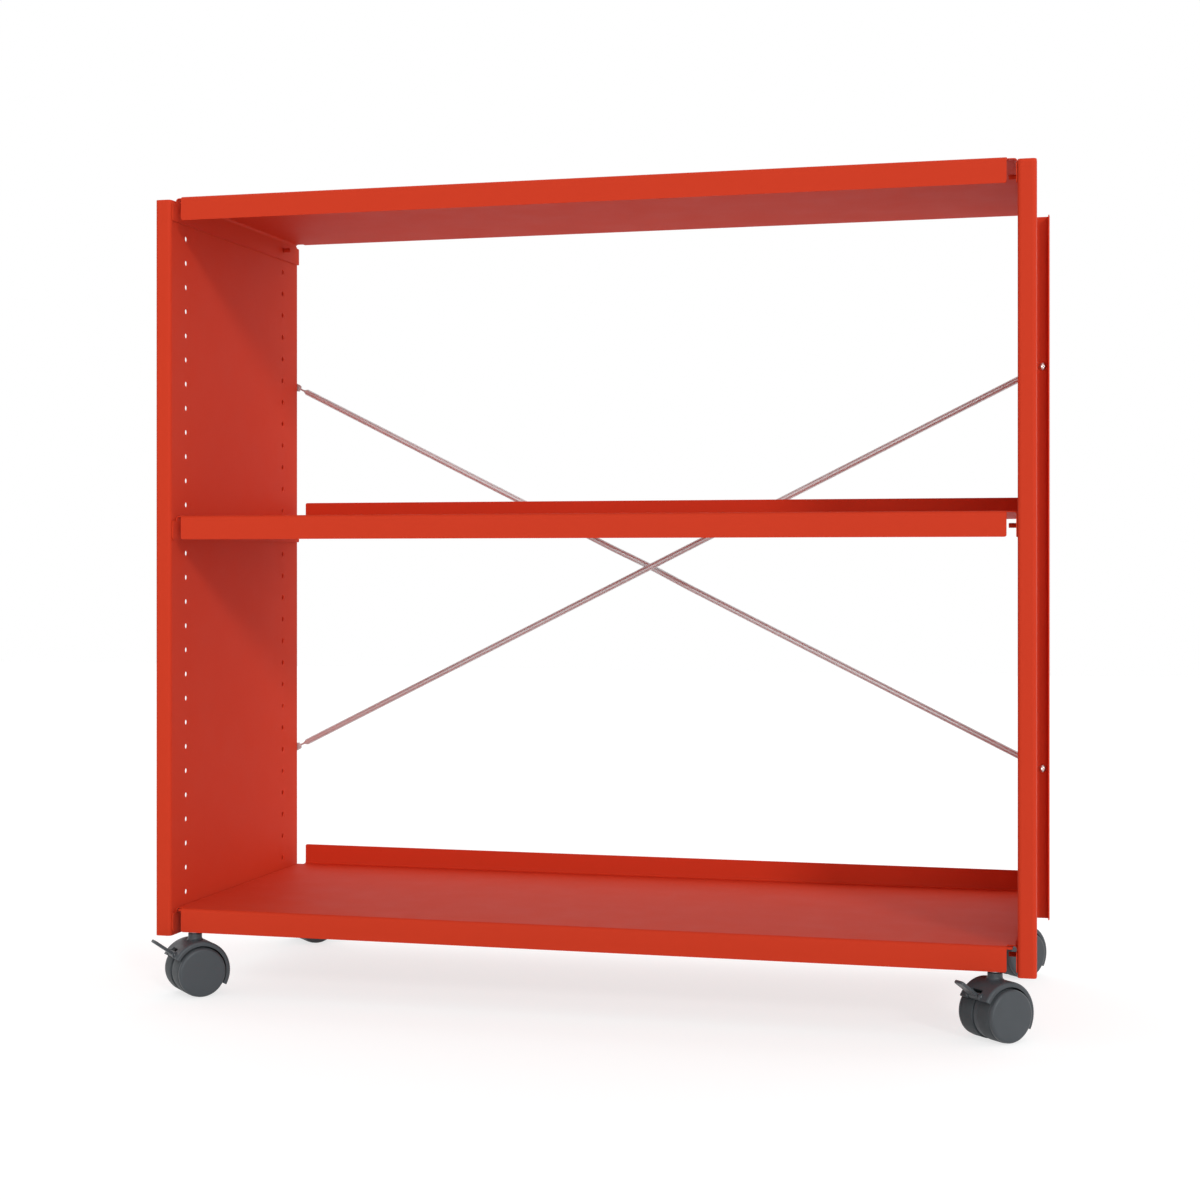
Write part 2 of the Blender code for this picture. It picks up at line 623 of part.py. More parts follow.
def wheel_mesh():
    """A wheel core turned about Z, its inner face at TYRE_INNER: drum, outer cap and blind axle hole."""
    drum = (WHEEL_RADIUS - TYRE_THICKNESS - SEAT_GAP) * FACET
    rim = (WHEEL_RADIUS - CAP_STEP) * FACET
    hole = bore(AXLE_DIAMETER, WHEEL_SIDES)
    bottom = CAP_OUTER - AXLE_END_WALL
    profile = [
        (0, CAP_OUTER),
        (rim - CAP_BEVEL, CAP_OUTER),
        (rim, CAP_OUTER - CAP_BEVEL),
        (rim, CAP_INNER),
        (drum, CAP_INNER),
        (drum, TYRE_INNER),
        (hole, TYRE_INNER),
        (hole, bottom),
        (0, bottom),
    ]
    return turned("castor_wheel", profile, WHEEL_SIDES)


def tyre_mesh():
    """The tread ring on a wheel's drum."""
    tread = WHEEL_RADIUS * FACET
    bead = (WHEEL_RADIUS - TYRE_THICKNESS) * FACET
    profile = [
        (bead, TYRE_OUTER),
        (tread - TYRE_ROUND, TYRE_OUTER),
        (tread, TYRE_OUTER - TYRE_ROUND),
        (tread, TYRE_INNER + TYRE_ROUND),
        (tread - TYRE_ROUND, TYRE_INNER),
        (bead, TYRE_INNER),
    ]
    return turned("castor_tyre", profile, WHEEL_SIDES, ring=True)


def stem_mesh():
    """The swivel pin above the axle, with the shoulder that bears between the neck and the socket."""
    pin, shoulder = STEM_DIAMETER / 2, SHOULDER_DIAMETER / 2
    top = plate_top() - SOCKET_ROOF - SEAT_GAP
    bottom = BOSS_BOTTOM + SEAT_GAP
    profile = [
        (0, top),
        (pin, top),
        (pin, SHOULDER_TOP),
        (shoulder, SHOULDER_TOP),
        (shoulder, SHOULDER_BOTTOM),
        (pin, SHOULDER_BOTTOM),
        (pin, bottom),
        (0, bottom),
    ]
    return turned("castor_stem", profile, PIN_SIDES)


def plate_top():
    """The castor plate's upper face, measured up from the axle."""
    return shelf_height("bottom") - SHELF_SHEET - SEAT_GAP - WHEEL_RADIUS


def castor_plate_mesh(x_sign, y_sign):
    """A corner plate under the tray, with the socket for the stem. Its origin is on the swivel axis."""
    corner = (PLATE_X - CASTOR_X, -(PLATE_Y - CASTOR_Y))
    xs = sorted((x_sign * corner[0], x_sign * (corner[0] - PLATE_SIZE)))
    ys = sorted((y_sign * corner[1], y_sign * (corner[1] - PLATE_SIZE)))
    top = plate_top()
    sheet = block("castor_plate", (xs[0], ys[0], top - PLATE_THICKNESS), (xs[1], ys[1], top))
    bottom = SHOULDER_TOP + SEAT_GAP
    socket = bar("castor_socket", SOCKET_DIAMETER / 2, bottom, top - PLATE_THICKNESS / 2, NECK_SIDES)
    hole = bar("socket_bore", bore(STEM_DIAMETER, NECK_SIDES), 0, top - SOCKET_ROOF, NECK_SIDES)
    return combined("castor_plate", sheet, joined=[socket], cut=[hole])


def add_castor(end, side, shared):
    """A plate and stem that stay with the unit, and a hood, axle, wheels and lever that swivel."""
    x_sign, y_sign = SIDES[side], -1 if end == "front" else 1
    name = f"{end}_{side}_castor"
    mount = bpy.data.objects.new(f"{name}_mount", None)
    mount.location = (x_sign * CASTOR_X, -y_sign * CASTOR_Y, WHEEL_RADIUS)
    PARTS.objects.link(mount)
    swivel = bpy.data.objects.new(f"{name}_swivel", None)
    swivel.parent = mount
    swivel.rotation_euler.z = CASTOR_TURN
    PARTS.objects.link(swivel)
    add_part(f"{name}_plate", castor_plate_mesh(x_sign, y_sign), "red_powder_coat", mount)
    add_part(f"{name}_stem", shared["stem"], "bare_steel", mount)
    has_lever = end == "front"
    add_part(f"{name}_hood", shared["lever_hood" if has_lever else "plain_hood"], "slate_plastic", swivel)
    add_part(f"{name}_axle", shared["axle"], "bare_steel", swivel)
    for hand, turn in (("left", -math.pi / 2), ("right", math.pi / 2)):
        add_part(f"{name}_{hand}_wheel", shared["wheel"], "slate_plastic", swivel).rotation_euler.x = turn
        add_part(f"{name}_{hand}_tyre", shared["tyre"], "dark_tread", swivel).rotation_euler.x = turn
    if has_lever:
        for piece, finish in (("brake_lever", "slate_plastic"), ("lever_pin", "bare_steel")):
            add_part(f"{name}_{piece}", shared[piece], finish, swivel).location = (PIVOT_X, 0, PIVOT_Z)


def add_castors():
    pin_half = LEVER_WIDTH / 2 + LEVER_SIDE_GAP + EAR_THICKNESS
    shared = {
        "stem": stem_mesh(),
        "plain_hood": hood_mesh(with_lever=False),
        "lever_hood": hood_mesh(with_lever=True),
        "axle": bar("castor_axle", AXLE_DIAMETER / 2, -AXLE_HALF, AXLE_HALF, PIN_SIDES, ALONG_Y),
        "wheel": wheel_mesh(),
        "tyre": tyre_mesh(),
        "brake_lever": lever_mesh(),
        "lever_pin": bar("lever_pin", LEVER_PIN_DIAMETER / 2, -pin_half, pin_half, PIN_SIDES, ALONG_Y),
    }
    for end in ("front", "rear"):
        for side in SIDES:
            add_castor(end, side, shared)


def main():
    for side in SIDES:
        add_side_panel(side)
    add_shelves()
    add_braces()
    add_brace_screws()
    add_castors()


main()
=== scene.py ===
"""Looks of the rolling low shelving unit.

Metres, +Z up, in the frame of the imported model: the origin is on the floor under the middle of the unit,
and the open front faces -Y. Each sub-assembly is a class that works its surfaces out with numpy, lays them
where its solids are, dresses them and lets them ride on the solids' bodies.
"""

from __future__ import annotations

import json
import logging
import math
from collections.abc import Callable, Iterable
from dataclasses import dataclass
from enum import Enum, auto
from functools import cache

import bmesh
import bpy
import numpy as np
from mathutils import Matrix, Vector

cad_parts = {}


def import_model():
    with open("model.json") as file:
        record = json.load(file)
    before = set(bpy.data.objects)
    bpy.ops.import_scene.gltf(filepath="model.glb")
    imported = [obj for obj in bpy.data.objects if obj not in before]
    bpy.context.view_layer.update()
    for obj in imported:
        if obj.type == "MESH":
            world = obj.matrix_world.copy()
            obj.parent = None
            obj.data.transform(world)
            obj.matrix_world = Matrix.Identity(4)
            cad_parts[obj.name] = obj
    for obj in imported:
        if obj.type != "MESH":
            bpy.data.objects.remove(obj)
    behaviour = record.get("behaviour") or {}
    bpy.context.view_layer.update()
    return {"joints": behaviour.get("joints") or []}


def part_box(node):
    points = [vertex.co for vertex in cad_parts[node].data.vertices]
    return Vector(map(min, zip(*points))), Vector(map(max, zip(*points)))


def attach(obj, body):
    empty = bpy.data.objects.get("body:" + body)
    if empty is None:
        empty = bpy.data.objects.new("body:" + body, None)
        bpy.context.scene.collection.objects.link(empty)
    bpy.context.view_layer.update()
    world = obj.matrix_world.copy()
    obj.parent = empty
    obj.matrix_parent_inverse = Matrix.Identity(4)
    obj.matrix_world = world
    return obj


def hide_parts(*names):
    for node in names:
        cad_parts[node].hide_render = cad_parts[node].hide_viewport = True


LOG = logging.getLogger("shelving_unit")
FRAME_BODY = "frame"
FULL_TURN = 2 * math.pi
WELD = 0.000001
DECIMALS = 7  # of the places of a pattern's lines
SHARP_ANGLE = math.radians(35)
CUT_ANGLE = math.radians(60)  # from which an edge of a sheet counts as cut
CUT_SEGMENTS = 2
CORNER_ANGLES = np.radians([0, 28, 46, 60, 74, 90])  # at which a rounded corner has a line
HOLE_PARTS = 6  # quads along each side of the cell round a hole
HOLE_SHARES = np.array([0, 0.5, 0.85, 1])  # of the way from a cell's border to its hole, for each ring
THREAD_ROWS = 6  # rows of points to a turn of a thread
MIX_INPUTS, MIX_OUTPUT = (6, 7), 2  # the colour sockets of a mixing node

Socket = bpy.types.NodeSocket
RingRow = tuple[float | np.ndarray, float | np.ndarray]  # the radius and height of a row, or of several


class Named(Enum):
    """A choice among the unit's pieces or places, whose word stands in the names of nodes."""

    @property
    def word(self) -> str:
        """The member's name as it stands in node names."""
        return self.name.lower()


class Side(Named):
    """The unit's two ends, with their sign along X."""

    LEFT = -1
    RIGHT = 1


class Row(Named):
    """Front or rear, with the sign along Y."""

    FRONT = -1
    REAR = 1


class Level(Named):
    """The three shelves."""

    BOTTOM = auto()
    MIDDLE = auto()
    TOP = auto()


class BraceLevel(Named):
    """The two heights at which the brace rods are screwed on."""

    LOWER = auto()
    UPPER = auto()


class Slope(Named):
    """The two brace rods, by how they run from left to right."""

    RISING = auto()
    FALLING = auto()


class Axis(Enum):
    """A coordinate axis to turn about."""

    X = 0
    Y = 1
    Z = 2


@dataclass
class Surface:
    """Corner points and four-cornered faces of a shape in the making.

    Attributes:
        points: Places, one row of x, y and z each.
        faces: Numbers of the four corners of each face.
    """

    points: np.ndarray
    faces: np.ndarray

    @classmethod
    def grid(
        cls,
        places: np.ndarray,
        close_rows: bool = False,
        close_columns: bool = False,
        keep: np.ndarray | None = None,
    ) -> Surface:
        """Spans a quad between each four neighbours on a grid of points.

        Args:
            places: The points, rows x columns x 3.
            close_rows: Whether the last row joins the first.
            close_columns: Whether the last column joins the first.
            keep: Which quads to span, or None for all.

        Returns:
            The surface.
        """
        rows, columns = places.shape[:2]
        number = np.arange(rows * columns).reshape(rows, columns)
        if close_rows:
            number = np.vstack([number, number[:1]])
        if close_columns:
            number = np.hstack([number, number[:, :1]])
        quads = np.stack([number[:-1, :-1], number[1:, :-1], number[1:, 1:], number[:-1, 1:]], axis=-1)
        return cls(places.reshape(-1, 3), quads.reshape(-1, 4) if keep is None else quads[keep])

    def __add__(self, other: Surface) -> Surface:
        """Both surfaces as one."""
        faces = np.vstack([self.faces, other.faces + len(self.points)])
        return Surface(np.vstack([self.points, other.points]), faces)

    def moved(self, turn: np.ndarray | None = None, shift: Iterable[float] = (0.0, 0.0, 0.0)) -> Surface:
        """The surface turned by a matrix and then shifted."""
        points = self.points if turn is None else self.points @ turn.T
        return Surface(points + np.asarray(shift), self.faces)

    def mirrored(self) -> Surface:
        """The surface with X turned round."""
        return Surface(self.points * (-1, 1, 1), self.faces)

    def mapped(self, rule: Callable[[np.ndarray, np.ndarray], np.ndarray]) -> Surface:
        """The surface with each point replaced by what the rule makes of its first two coordinates."""
        return Surface(rule(self.points[:, 0], self.points[:, 1]), self.faces)


def turn_about(axis: Axis, angle: float) -> np.ndarray:
    """The matrix of a right-handed turn about a coordinate axis.

    Args:
        axis: The axis.
        angle: How far to turn.

    Returns:
        The matrix.
    """
    first, second = (axis.value + 1) % 3, (axis.value + 2) % 3
    matrix = np.eye(3)
    matrix[first, first] = matrix[second, second] = math.cos(angle)
    matrix[second, first] = math.sin(angle)
    matrix[first, second] = -math.sin(angle)
    return matrix


def round_angles(steps: int) -> np.ndarray:
    """Equal angles of a full turn, without the last one that would repeat the first."""
    return FULL_TURN * np.arange(steps) / steps


def quarter_turn(points: int) -> np.ndarray:
    """Equal angles from nought to a quarter turn."""
    return np.linspace(0, math.pi / 2, points)


def arc(centre: RingRow, radius: float, start: float, points: int) -> list[RingRow]:
    """A quarter circle from an angle back: r = centre + radius cos a and h = centre + radius sin a.

    Args:
        centre: r and h of its centre.
        radius: Its radius.
        start: a of its first point.
        points: How many points it has.

    Returns:
        r and h of each point.
    """
    angle = start - quarter_turn(points)
    return list(zip(centre[0] + radius * np.cos(angle), centre[1] + radius * np.sin(angle)))


def ringed(rows: list[RingRow], angle: np.ndarray, ring: bool = False) -> Surface:
    """Lays rows of points out round Z: x = r cos a, y = r sin a, z = h.

    Args:
        rows: r and h of each row, or of several rows at once, as numbers or with a column for each a.
        angle: a of each column.
        ring: Whether the last row joins the first.

    Returns:
        The surface, closed round the axis.
    """
    spread = [np.broadcast_arrays(radius, height, angle) for radius, height in rows]
    radius, height = (np.vstack([arrays[part] for arrays in spread]) for part in (0, 1))
    places = np.stack([radius * np.cos(angle), radius * np.sin(angle), height], axis=-1)
    return Surface.grid(places, close_rows=ring, close_columns=True)


def turned(profile: list[RingRow], steps: int, ring: bool = False) -> Surface:
    """A profile of (radius, height) points turned about Z."""
    return ringed(profile, round_angles(steps), ring)


def eye_plate(
    bore: float, outline: np.ndarray | float, half: float, edge: float, angle: np.ndarray
) -> Surface:
    """A flat plate round a bore, from r = bore to r = outline(a), with all four rims chamfered.

    Args:
        bore: The bore's radius.
        outline: The outer radius, at each angle where it changes.
        half: Half the thickness, along Z.
        edge: The chamfer.
        angle: The angles.

    Returns:
        The plate.
    """
    rows = [
        (bore + edge, half),
        (bore, half - edge),
        (bore, edge - half),
        (bore + edge, -half),
        (outline - edge, -half),
        (outline, edge - half),
        (outline, half - edge),
        (outline - edge, half),
    ]
    return ringed(rows, angle, ring=True)


def rounded_slab(low: np.ndarray, high: np.ndarray, corner: float, edge: float, steps: int = 6) -> Surface:
    """A block whose four upright corners are arcs and whose upper and lower rims are chamfered.

    The outline is the arc's centre plus the corner radius times (cos a, sin a), a quarter turn for each
    corner, and the chamfered rings are the same outline with the radius less the chamfer.

    Args:
        low: The lowest corner.
        high: The highest corner.
        corner: The radius of the upright corners.
        edge: The chamfer.
        steps: Quads round each corner.

    Returns:
        The block.
    """
    quarter = np.arange(4)[:, None] + np.linspace(0, 1, steps + 1)
    angle = (quarter * math.pi / 2).ravel()
    at_high = np.repeat([[1, 1], [0, 1], [0, 0], [1, 0]], steps + 1, axis=0)
    centre = np.where(at_high == 1, high[:2] - corner, low[:2] + corner)
    outward = np.stack([np.cos(angle), np.sin(angle)], axis=-1)
    middle = np.broadcast_to((low[:2] + high[:2]) / 2, centre.shape)
    rim, inset = centre + corner * outward, centre + (corner - edge) * outward
    levels = [high[2], high[2], high[2] - edge, low[2] + edge, low[2], low[2]]
    rings = np.stack([middle, inset, rim, rim, inset, middle])
    height = np.broadcast_to(np.array(levels)[:, None, None], (*rings.shape[:2], 1))
    return Surface.grid(np.concatenate([rings, height], axis=-1), close_columns=True)


class FoldedSection:
    """The middle line of a folded sheet: straight runs whose right-angled corners are arcs."""

    def __init__(self, corners: list[tuple[float, float]], bend: float, steps: int = 6) -> None:
        """Rounds the corners and measures along the line.

        With unit vectors b and f back and forward along the runs that meet in a corner, its arc is
        corner + bend (b + f - f cos a - b sin a), for a from nothing to a quarter turn.

        Args:
            corners: The ends and corners of the line.
            bend: The arcs' radius.
            steps: Quads round each arc.
        """
        points = np.array(corners)
        back = (points[:-2] - points[1:-1]) / np.linalg.norm(points[:-2] - points[1:-1], axis=1)[:, None]
        forward = (points[2:] - points[1:-1]) / np.linalg.norm(points[2:] - points[1:-1], axis=1)[:, None]
        angle = quarter_turn(steps + 1)[:, None]
        back, forward = back[:, None], forward[:, None]
        arcs = points[1:-1, None] + bend * (back + forward - forward * np.cos(angle) - back * np.sin(angle))
        self.line = np.vstack([points[:1], arcs.reshape(-1, 2), points[-1:]])
        steps_along = np.linalg.norm(np.diff(self.line, axis=0), axis=1)
        self.length = np.concatenate([[0], np.cumsum(steps_along)])
        first = 1 + np.arange(len(points) - 2) * (steps + 1)
        self.bend_starts, self.bend_ends = self.length[first], self.length[first + steps]

    def at(self, distance: np.ndarray) -> tuple[np.ndarray, np.ndarray]:
        """The two coordinates at distances along the line."""
        return (
            np.interp(distance, self.length, self.line[:, 0]),
            np.interp(distance, self.length, self.line[:, 1]),
        )

    def where(self, first: float, second: float) -> float:
        """The distance along the line of its point nearest to a place.

        Args:
            first: The place's first coordinate.
            second: Its second coordinate.

        Returns:
            The distance.
        """
        start, step = self.line[:-1], np.diff(self.line, axis=0)
        share = ((np.array([first, second]) - start) * step).sum(axis=1) / (step**2).sum(axis=1)
        share = np.clip(share, 0, 1)
        gap = np.linalg.norm(start + share[:, None] * step - (first, second), axis=1)
        nearest = int(np.argmin(gap))
        return float(self.length[nearest] + share[nearest] * np.diff(self.length)[nearest])

    def lines(self, margin: float) -> np.ndarray:
        """Distances of all the line's points, and of one a margin before and after each bend."""
        return np.concatenate([self.length, self.bend_starts - margin, self.bend_ends + margin])


def span_about(middle: float, half: float) -> tuple[float, float]:
    """The span that reaches half a width to each side of a place."""
    return round(middle - half, DECIMALS), round(middle + half, DECIMALS)


@dataclass(frozen=True)
class Hole:
    """A round hole in a flat pattern, and the cell of the pattern that it takes up."""

    across: float
    along: float
    radius: float
    across_span: tuple[float, float]
    along_span: tuple[float, float]


class FlatPattern:
    """A sheet before it is folded: a grid of lines across and along it, with round holes in some cells."""

    def __init__(self, across: np.ndarray, along: np.ndarray, holes: list[Hole]) -> None:
        """Fits the lines to the holes' cells.

        Args:
            across: Places of the lines across the sheet.
            along: Places of the lines along it.
            holes: Its holes, whose cells don't overlap.
        """
        self.across = self._fitted(across, {hole.across_span for hole in holes})
        self.along = self._fitted(along, {hole.along_span for hole in holes})
        self.holes = holes

    @staticmethod
    def _fitted(lines: np.ndarray, spans: set[tuple[float, float]]) -> np.ndarray:
        """The lines with those inside a span replaced by equal steps across it.

        Args:
            lines: The lines' places.
            spans: The spans of the holes' cells.

        Returns:
            The places in order, each once.
        """
        steps = []
        for low, high in sorted(spans):
            lines = lines[(lines < low + WELD) | (lines > high - WELD)]
            steps.append(np.linspace(low, high, HOLE_PARTS + 1))
        return np.unique(np.concatenate([lines, *steps]).round(DECIMALS))

    def surface(self) -> Surface:
        """The pattern as a surface in the XY plane.

        A cell with a hole is filled by rings that go from its square border to the round rim: border +
        share (rim - border), where the rim's points are centre + radius (cos a, sin a) and a starts at the
        border's first corner.

        Returns:
            The surface.
        """
        lines = np.meshgrid(self.across, self.along, np.zeros(1), indexing="ij")
        places = np.stack(lines, axis=-1)[:, :, 0]
        keep = np.ones((len(self.across) - 1, len(self.along) - 1), dtype=bool)
        step = np.arange(HOLE_PARTS)
        none, full = np.zeros_like(step), np.full_like(step, HOLE_PARTS)
        rows = np.concatenate([step, full, HOLE_PARTS - step, none])
        columns = np.concatenate([none, step, full, HOLE_PARTS - step])
        angle = round_angles(4 * HOLE_PARTS) - math.radians(135)
        outward = np.stack([np.cos(angle), np.sin(angle), np.zeros_like(angle)], axis=-1)
        share = HOLE_SHARES[:, None, None]
        cells = []
        for hole in self.holes:
            row = int(np.searchsorted(self.across, hole.across_span[0] - WELD))
            column = int(np.searchsorted(self.along, hole.along_span[0] - WELD))
            keep[row : row + HOLE_PARTS, column : column + HOLE_PARTS] = False
            border = places[row + rows, column + columns]
            rim = np.array([hole.across, hole.along, 0]) + hole.radius * outward
            cells.append(Surface.grid(border + share * (rim - border), close_columns=True))
        whole = Surface.grid(places, keep=keep)
        for cell in cells:
            whole = whole + cell
        return whole


def corner_loss(distance: np.ndarray, radius: float) -> np.ndarray:
    """How far a rounded corner draws a side in, at d from the free edge: R - sqrt(R2 - (R - d)2)."""
    depth = radius - np.clip(distance, 0, radius)
    return radius - np.sqrt(radius**2 - depth**2)


def corner_lines(radius: float) -> np.ndarray:
    """Distances from a free edge at which a rounded corner needs a line."""
    return radius * (1 - np.cos(CORNER_ANGLES))


class Wiring:
    """Adds nodes to a shader tree and links them as they are added."""

    def __init__(self, tree: bpy.types.NodeTree) -> None:
        """Takes the tree to work in."""
        self.tree = tree

    def node(self, kind: str, inputs: dict | None = None, **settings: object) -> bpy.types.Node:
        """Adds a node.

        Args:
            kind: The node's type, without the word ShaderNode before it.
            inputs: A socket to link, or a value to set, for each named or numbered input.
            settings: The node's own properties.

        Returns:
            The node.
        """
        name = kind if kind.startswith("Node") else f"ShaderNode{kind}"
        node = self.tree.nodes.new(name)
        for key, value in settings.items():
            setattr(node, key, value)
        for key, value in (inputs or {}).items():
            if isinstance(value, Socket):
                self.tree.links.new(value, node.inputs[key])
            else:
                node.inputs[key].default_value = value
        return node

    def group(self, tree: bpy.types.NodeTree, inputs: dict) -> bpy.types.Node:
        """Places a node group with its inputs."""
        return self.node("Group", inputs, node_tree=tree)


class Effect(Enum):
    """Shared surface effects, each a node group that is built once."""

    TONE_DRIFT = "tone_drift"
    GLOSS_DRIFT = "gloss_drift"
    FINE_RELIEF = "fine_relief"
    THIN_EDGE = "thin_edge"


def new_group(effect: Effect, inputs: dict[str, str], output: tuple[str, str]) -> tuple[Wiring, dict]:
    """Starts a node group.

    Args:
        effect: The effect that the group is for.
        inputs: The kind of each input socket, by name.
        output: The name and kind of the output socket.

    Returns:
        The group's wiring, and its input sockets by name.
    """
    tree = bpy.data.node_groups.new(effect.value, "ShaderNodeTree")
    for name, kind in inputs.items():
        tree.interface.new_socket(name=name, in_out="INPUT", socket_type=f"NodeSocket{kind}")
    tree.interface.new_socket(name=output[0], in_out="OUTPUT", socket_type=f"NodeSocket{output[1]}")
    wiring = Wiring(tree)
    entry = wiring.node("NodeGroupInput")
    return wiring, {name: entry.outputs[name] for name in inputs}


@cache
def effect_group(effect: Effect) -> bpy.types.NodeTree:
    """The node group of an effect."""
    return {
        Effect.TONE_DRIFT: tone_drift,
        Effect.GLOSS_DRIFT: gloss_drift,
        Effect.FINE_RELIEF: fine_relief,
        Effect.THIN_EDGE: thin_edge,
    }[effect]()


def drift(wiring: Wiring, scale: Socket, amount: Socket) -> Socket:
    """Soft noise about nought.

    Args:
        wiring: The tree to add it to.
        scale: How many waves it has to a metre.
        amount: How far it goes to each side of nought.

    Returns:
        The noise.
    """
    place = wiring.node("TexCoord").outputs["Object"]
    noise = wiring.node("TexNoise", {"Vector": place, "Scale": scale, "Detail": 4.0, "Roughness": 0.55})
    least = wiring.node("Math", {0: 0.0, 1: amount}, operation="SUBTRACT").outputs[0]
    limits = {"From Min": 0.3, "From Max": 0.7, "To Min": least, "To Max": amount}
    return wiring.node("MapRange", {"Value": noise.outputs["Fac"], **limits}).outputs["Result"]


def tone_drift() -> bpy.types.NodeTree:
    """A colour that grows a little lighter and darker over the surface.

    Returns:
        The node group.
    """
    kinds = {"Color": "Color", "Amount": "Float", "Scale": "Float"}
    wiring, entry = new_group(Effect.TONE_DRIFT, kinds, ("Color", "Color"))
    change = drift(wiring, entry["Scale"], entry["Amount"])
    value = wiring.node("Math", {0: 1.0, 1: change}, operation="ADD").outputs[0]
    colour = wiring.node("HueSaturation", {"Color": entry["Color"], "Value": value}).outputs["Color"]
    wiring.node("NodeGroupOutput", {"Color": colour})
    return wiring.tree


def gloss_drift() -> bpy.types.NodeTree:
    """A roughness that wanders over the surface, as handling and cleaning leave it.

    Returns:
        The node group.
    """
    kinds = {"Roughness": "Float", "Amount": "Float", "Scale": "Float"}
    wiring, entry = new_group(Effect.GLOSS_DRIFT, kinds, ("Roughness", "Float"))
    change = drift(wiring, entry["Scale"], entry["Amount"])
    value = wiring.node("Math", {0: entry["Roughness"], 1: change}, operation="ADD", use_clamp=True)
    wiring.node("NodeGroupOutput", {"Roughness": value.outputs[0]})
    return wiring.tree


def fine_relief() -> bpy.types.NodeTree:
    """The height of fine round bumps: the flow of a baked coat, or the grain of a mould.

    Returns:
        The node group.
    """
    wiring, entry = new_group(Effect.FINE_RELIEF, {"Scale": "Float"}, ("Height", "Float"))
    place = wiring.node("TexCoord").outputs["Object"]
    grain = {"Vector": place, "Scale": entry["Scale"], "Detail": 1.5, "Roughness": 0.45}
    height = wiring.node("TexNoise", grain).outputs["Fac"]
    wiring.node("NodeGroupOutput", {"Height": height})
    return wiring.tree


def thin_edge() -> bpy.types.NodeTree:
    """A colour that is lighter along cut edges, where a coat draws thin, in uneven stretches.

    Returns:
        The node group.
    """
    kinds = {"Color": "Color", "Lift": "Float", "Scale": "Float"}
    wiring, entry = new_group(Effect.THIN_EDGE, kinds, ("Color", "Color"))
    rim = wiring.node("Attribute", attribute_name="rim").outputs["Fac"]
    place = wiring.node("TexCoord").outputs["Object"]
    waves = {"Vector": place, "Scale": entry["Scale"], "Detail": 3.0}
    noise = wiring.node("TexNoise", waves).outputs["Fac"]
    uneven = wiring.node("MapRange", {"Value": noise, "From Min": 0.35, "From Max": 0.65}).outputs["Result"]
    share = wiring.node("Math", {0: rim, 1: uneven}, operation="MULTIPLY").outputs[0]
    lift = wiring.node("Math", {0: share, 1: entry["Lift"], 2: 1.0}, operation="MULTIPLY_ADD").outputs[0]
    colour = wiring.node("HueSaturation", {"Color": entry["Color"], "Value": lift}).outputs["Color"]
    wiring.node("NodeGroupOutput", {"Color": colour})
    return wiring.tree


def linear_colour(screen: tuple[int, int, int]) -> tuple[float, float, float, float]:
    """A screen colour as a shader's linear colour, by the curve that screens use.

    Args:
        screen: The colour, each channel up to 255.

    Returns:
        The linear colour and full cover.
    """
    share = np.array(screen) / 255
    value = np.where(share <= 0.04045, share / 12.92, ((share + 0.055) / 1.055) ** 2.4)
    return (*value.tolist(), 1.0)


@dataclass(frozen=True)
class Finish:
    """A surface finish, and how it is made.

    Attributes:
        slot: The record's material slot.
        screen: The colour as it shows on a screen.
        roughness: The mean roughness.
        metallic: 1 for bare metal.
        tone: How much the colour drifts, and at how many waves a metre.
        gloss: How much the roughness drifts, and at how many waves a metre.
        relief: The height of the fine bumps in metres, and how many there are to a metre.
        specular: The strength of the clear reflection.
        edge_lift: How much lighter the colour is along cut edges.
    """

    slot: str
    screen: tuple[int, int, int]
    roughness: float
    metallic: float
    tone: tuple[float, float]
    gloss: tuple[float, float]
    relief: tuple[float, float]
    specular: float = 0.5
    edge_lift: float = 0.0

    @cache
    def material(self) -> bpy.types.Material:
        """Builds the finish's material the first time it is asked for.

        Returns:
            The material.
        """
        material = bpy.data.materials.new(f"{self.slot}_finish")
        material.use_nodes = True
        wiring = Wiring(material.node_tree)
        shader = material.node_tree.nodes["Principled BSDF"]
        tone = {"Color": linear_colour(self.screen), "Amount": self.tone[0], "Scale": self.tone[1]}
        colour = wiring.group(effect_group(Effect.TONE_DRIFT), tone).outputs["Color"]
        if self.edge_lift:
            edge = {"Color": colour, "Lift": self.edge_lift, "Scale": self.tone[1]}
            colour = wiring.group(effect_group(Effect.THIN_EDGE), edge).outputs["Color"]
        gloss = {"Roughness": self.roughness, "Amount": self.gloss[0], "Scale": self.gloss[1]}
        roughness = wiring.group(effect_group(Effect.GLOSS_DRIFT), gloss).outputs["Roughness"]
        height = wiring.group(effect_group(Effect.FINE_RELIEF), {"Scale": self.relief[1]}).outputs["Height"]
        bump = wiring.node("Bump", {"Height": height, "Distance": self.relief[0], "Strength": 1.0})
        links = {"Base Color": colour, "Roughness": roughness, "Normal": bump.outputs["Normal"]}
        for name, socket in links.items():
            material.node_tree.links.new(socket, shader.inputs[name])
        shader.inputs["Metallic"].default_value = self.metallic
        shader.inputs["Specular IOR Level"].default_value = self.specular
        return material


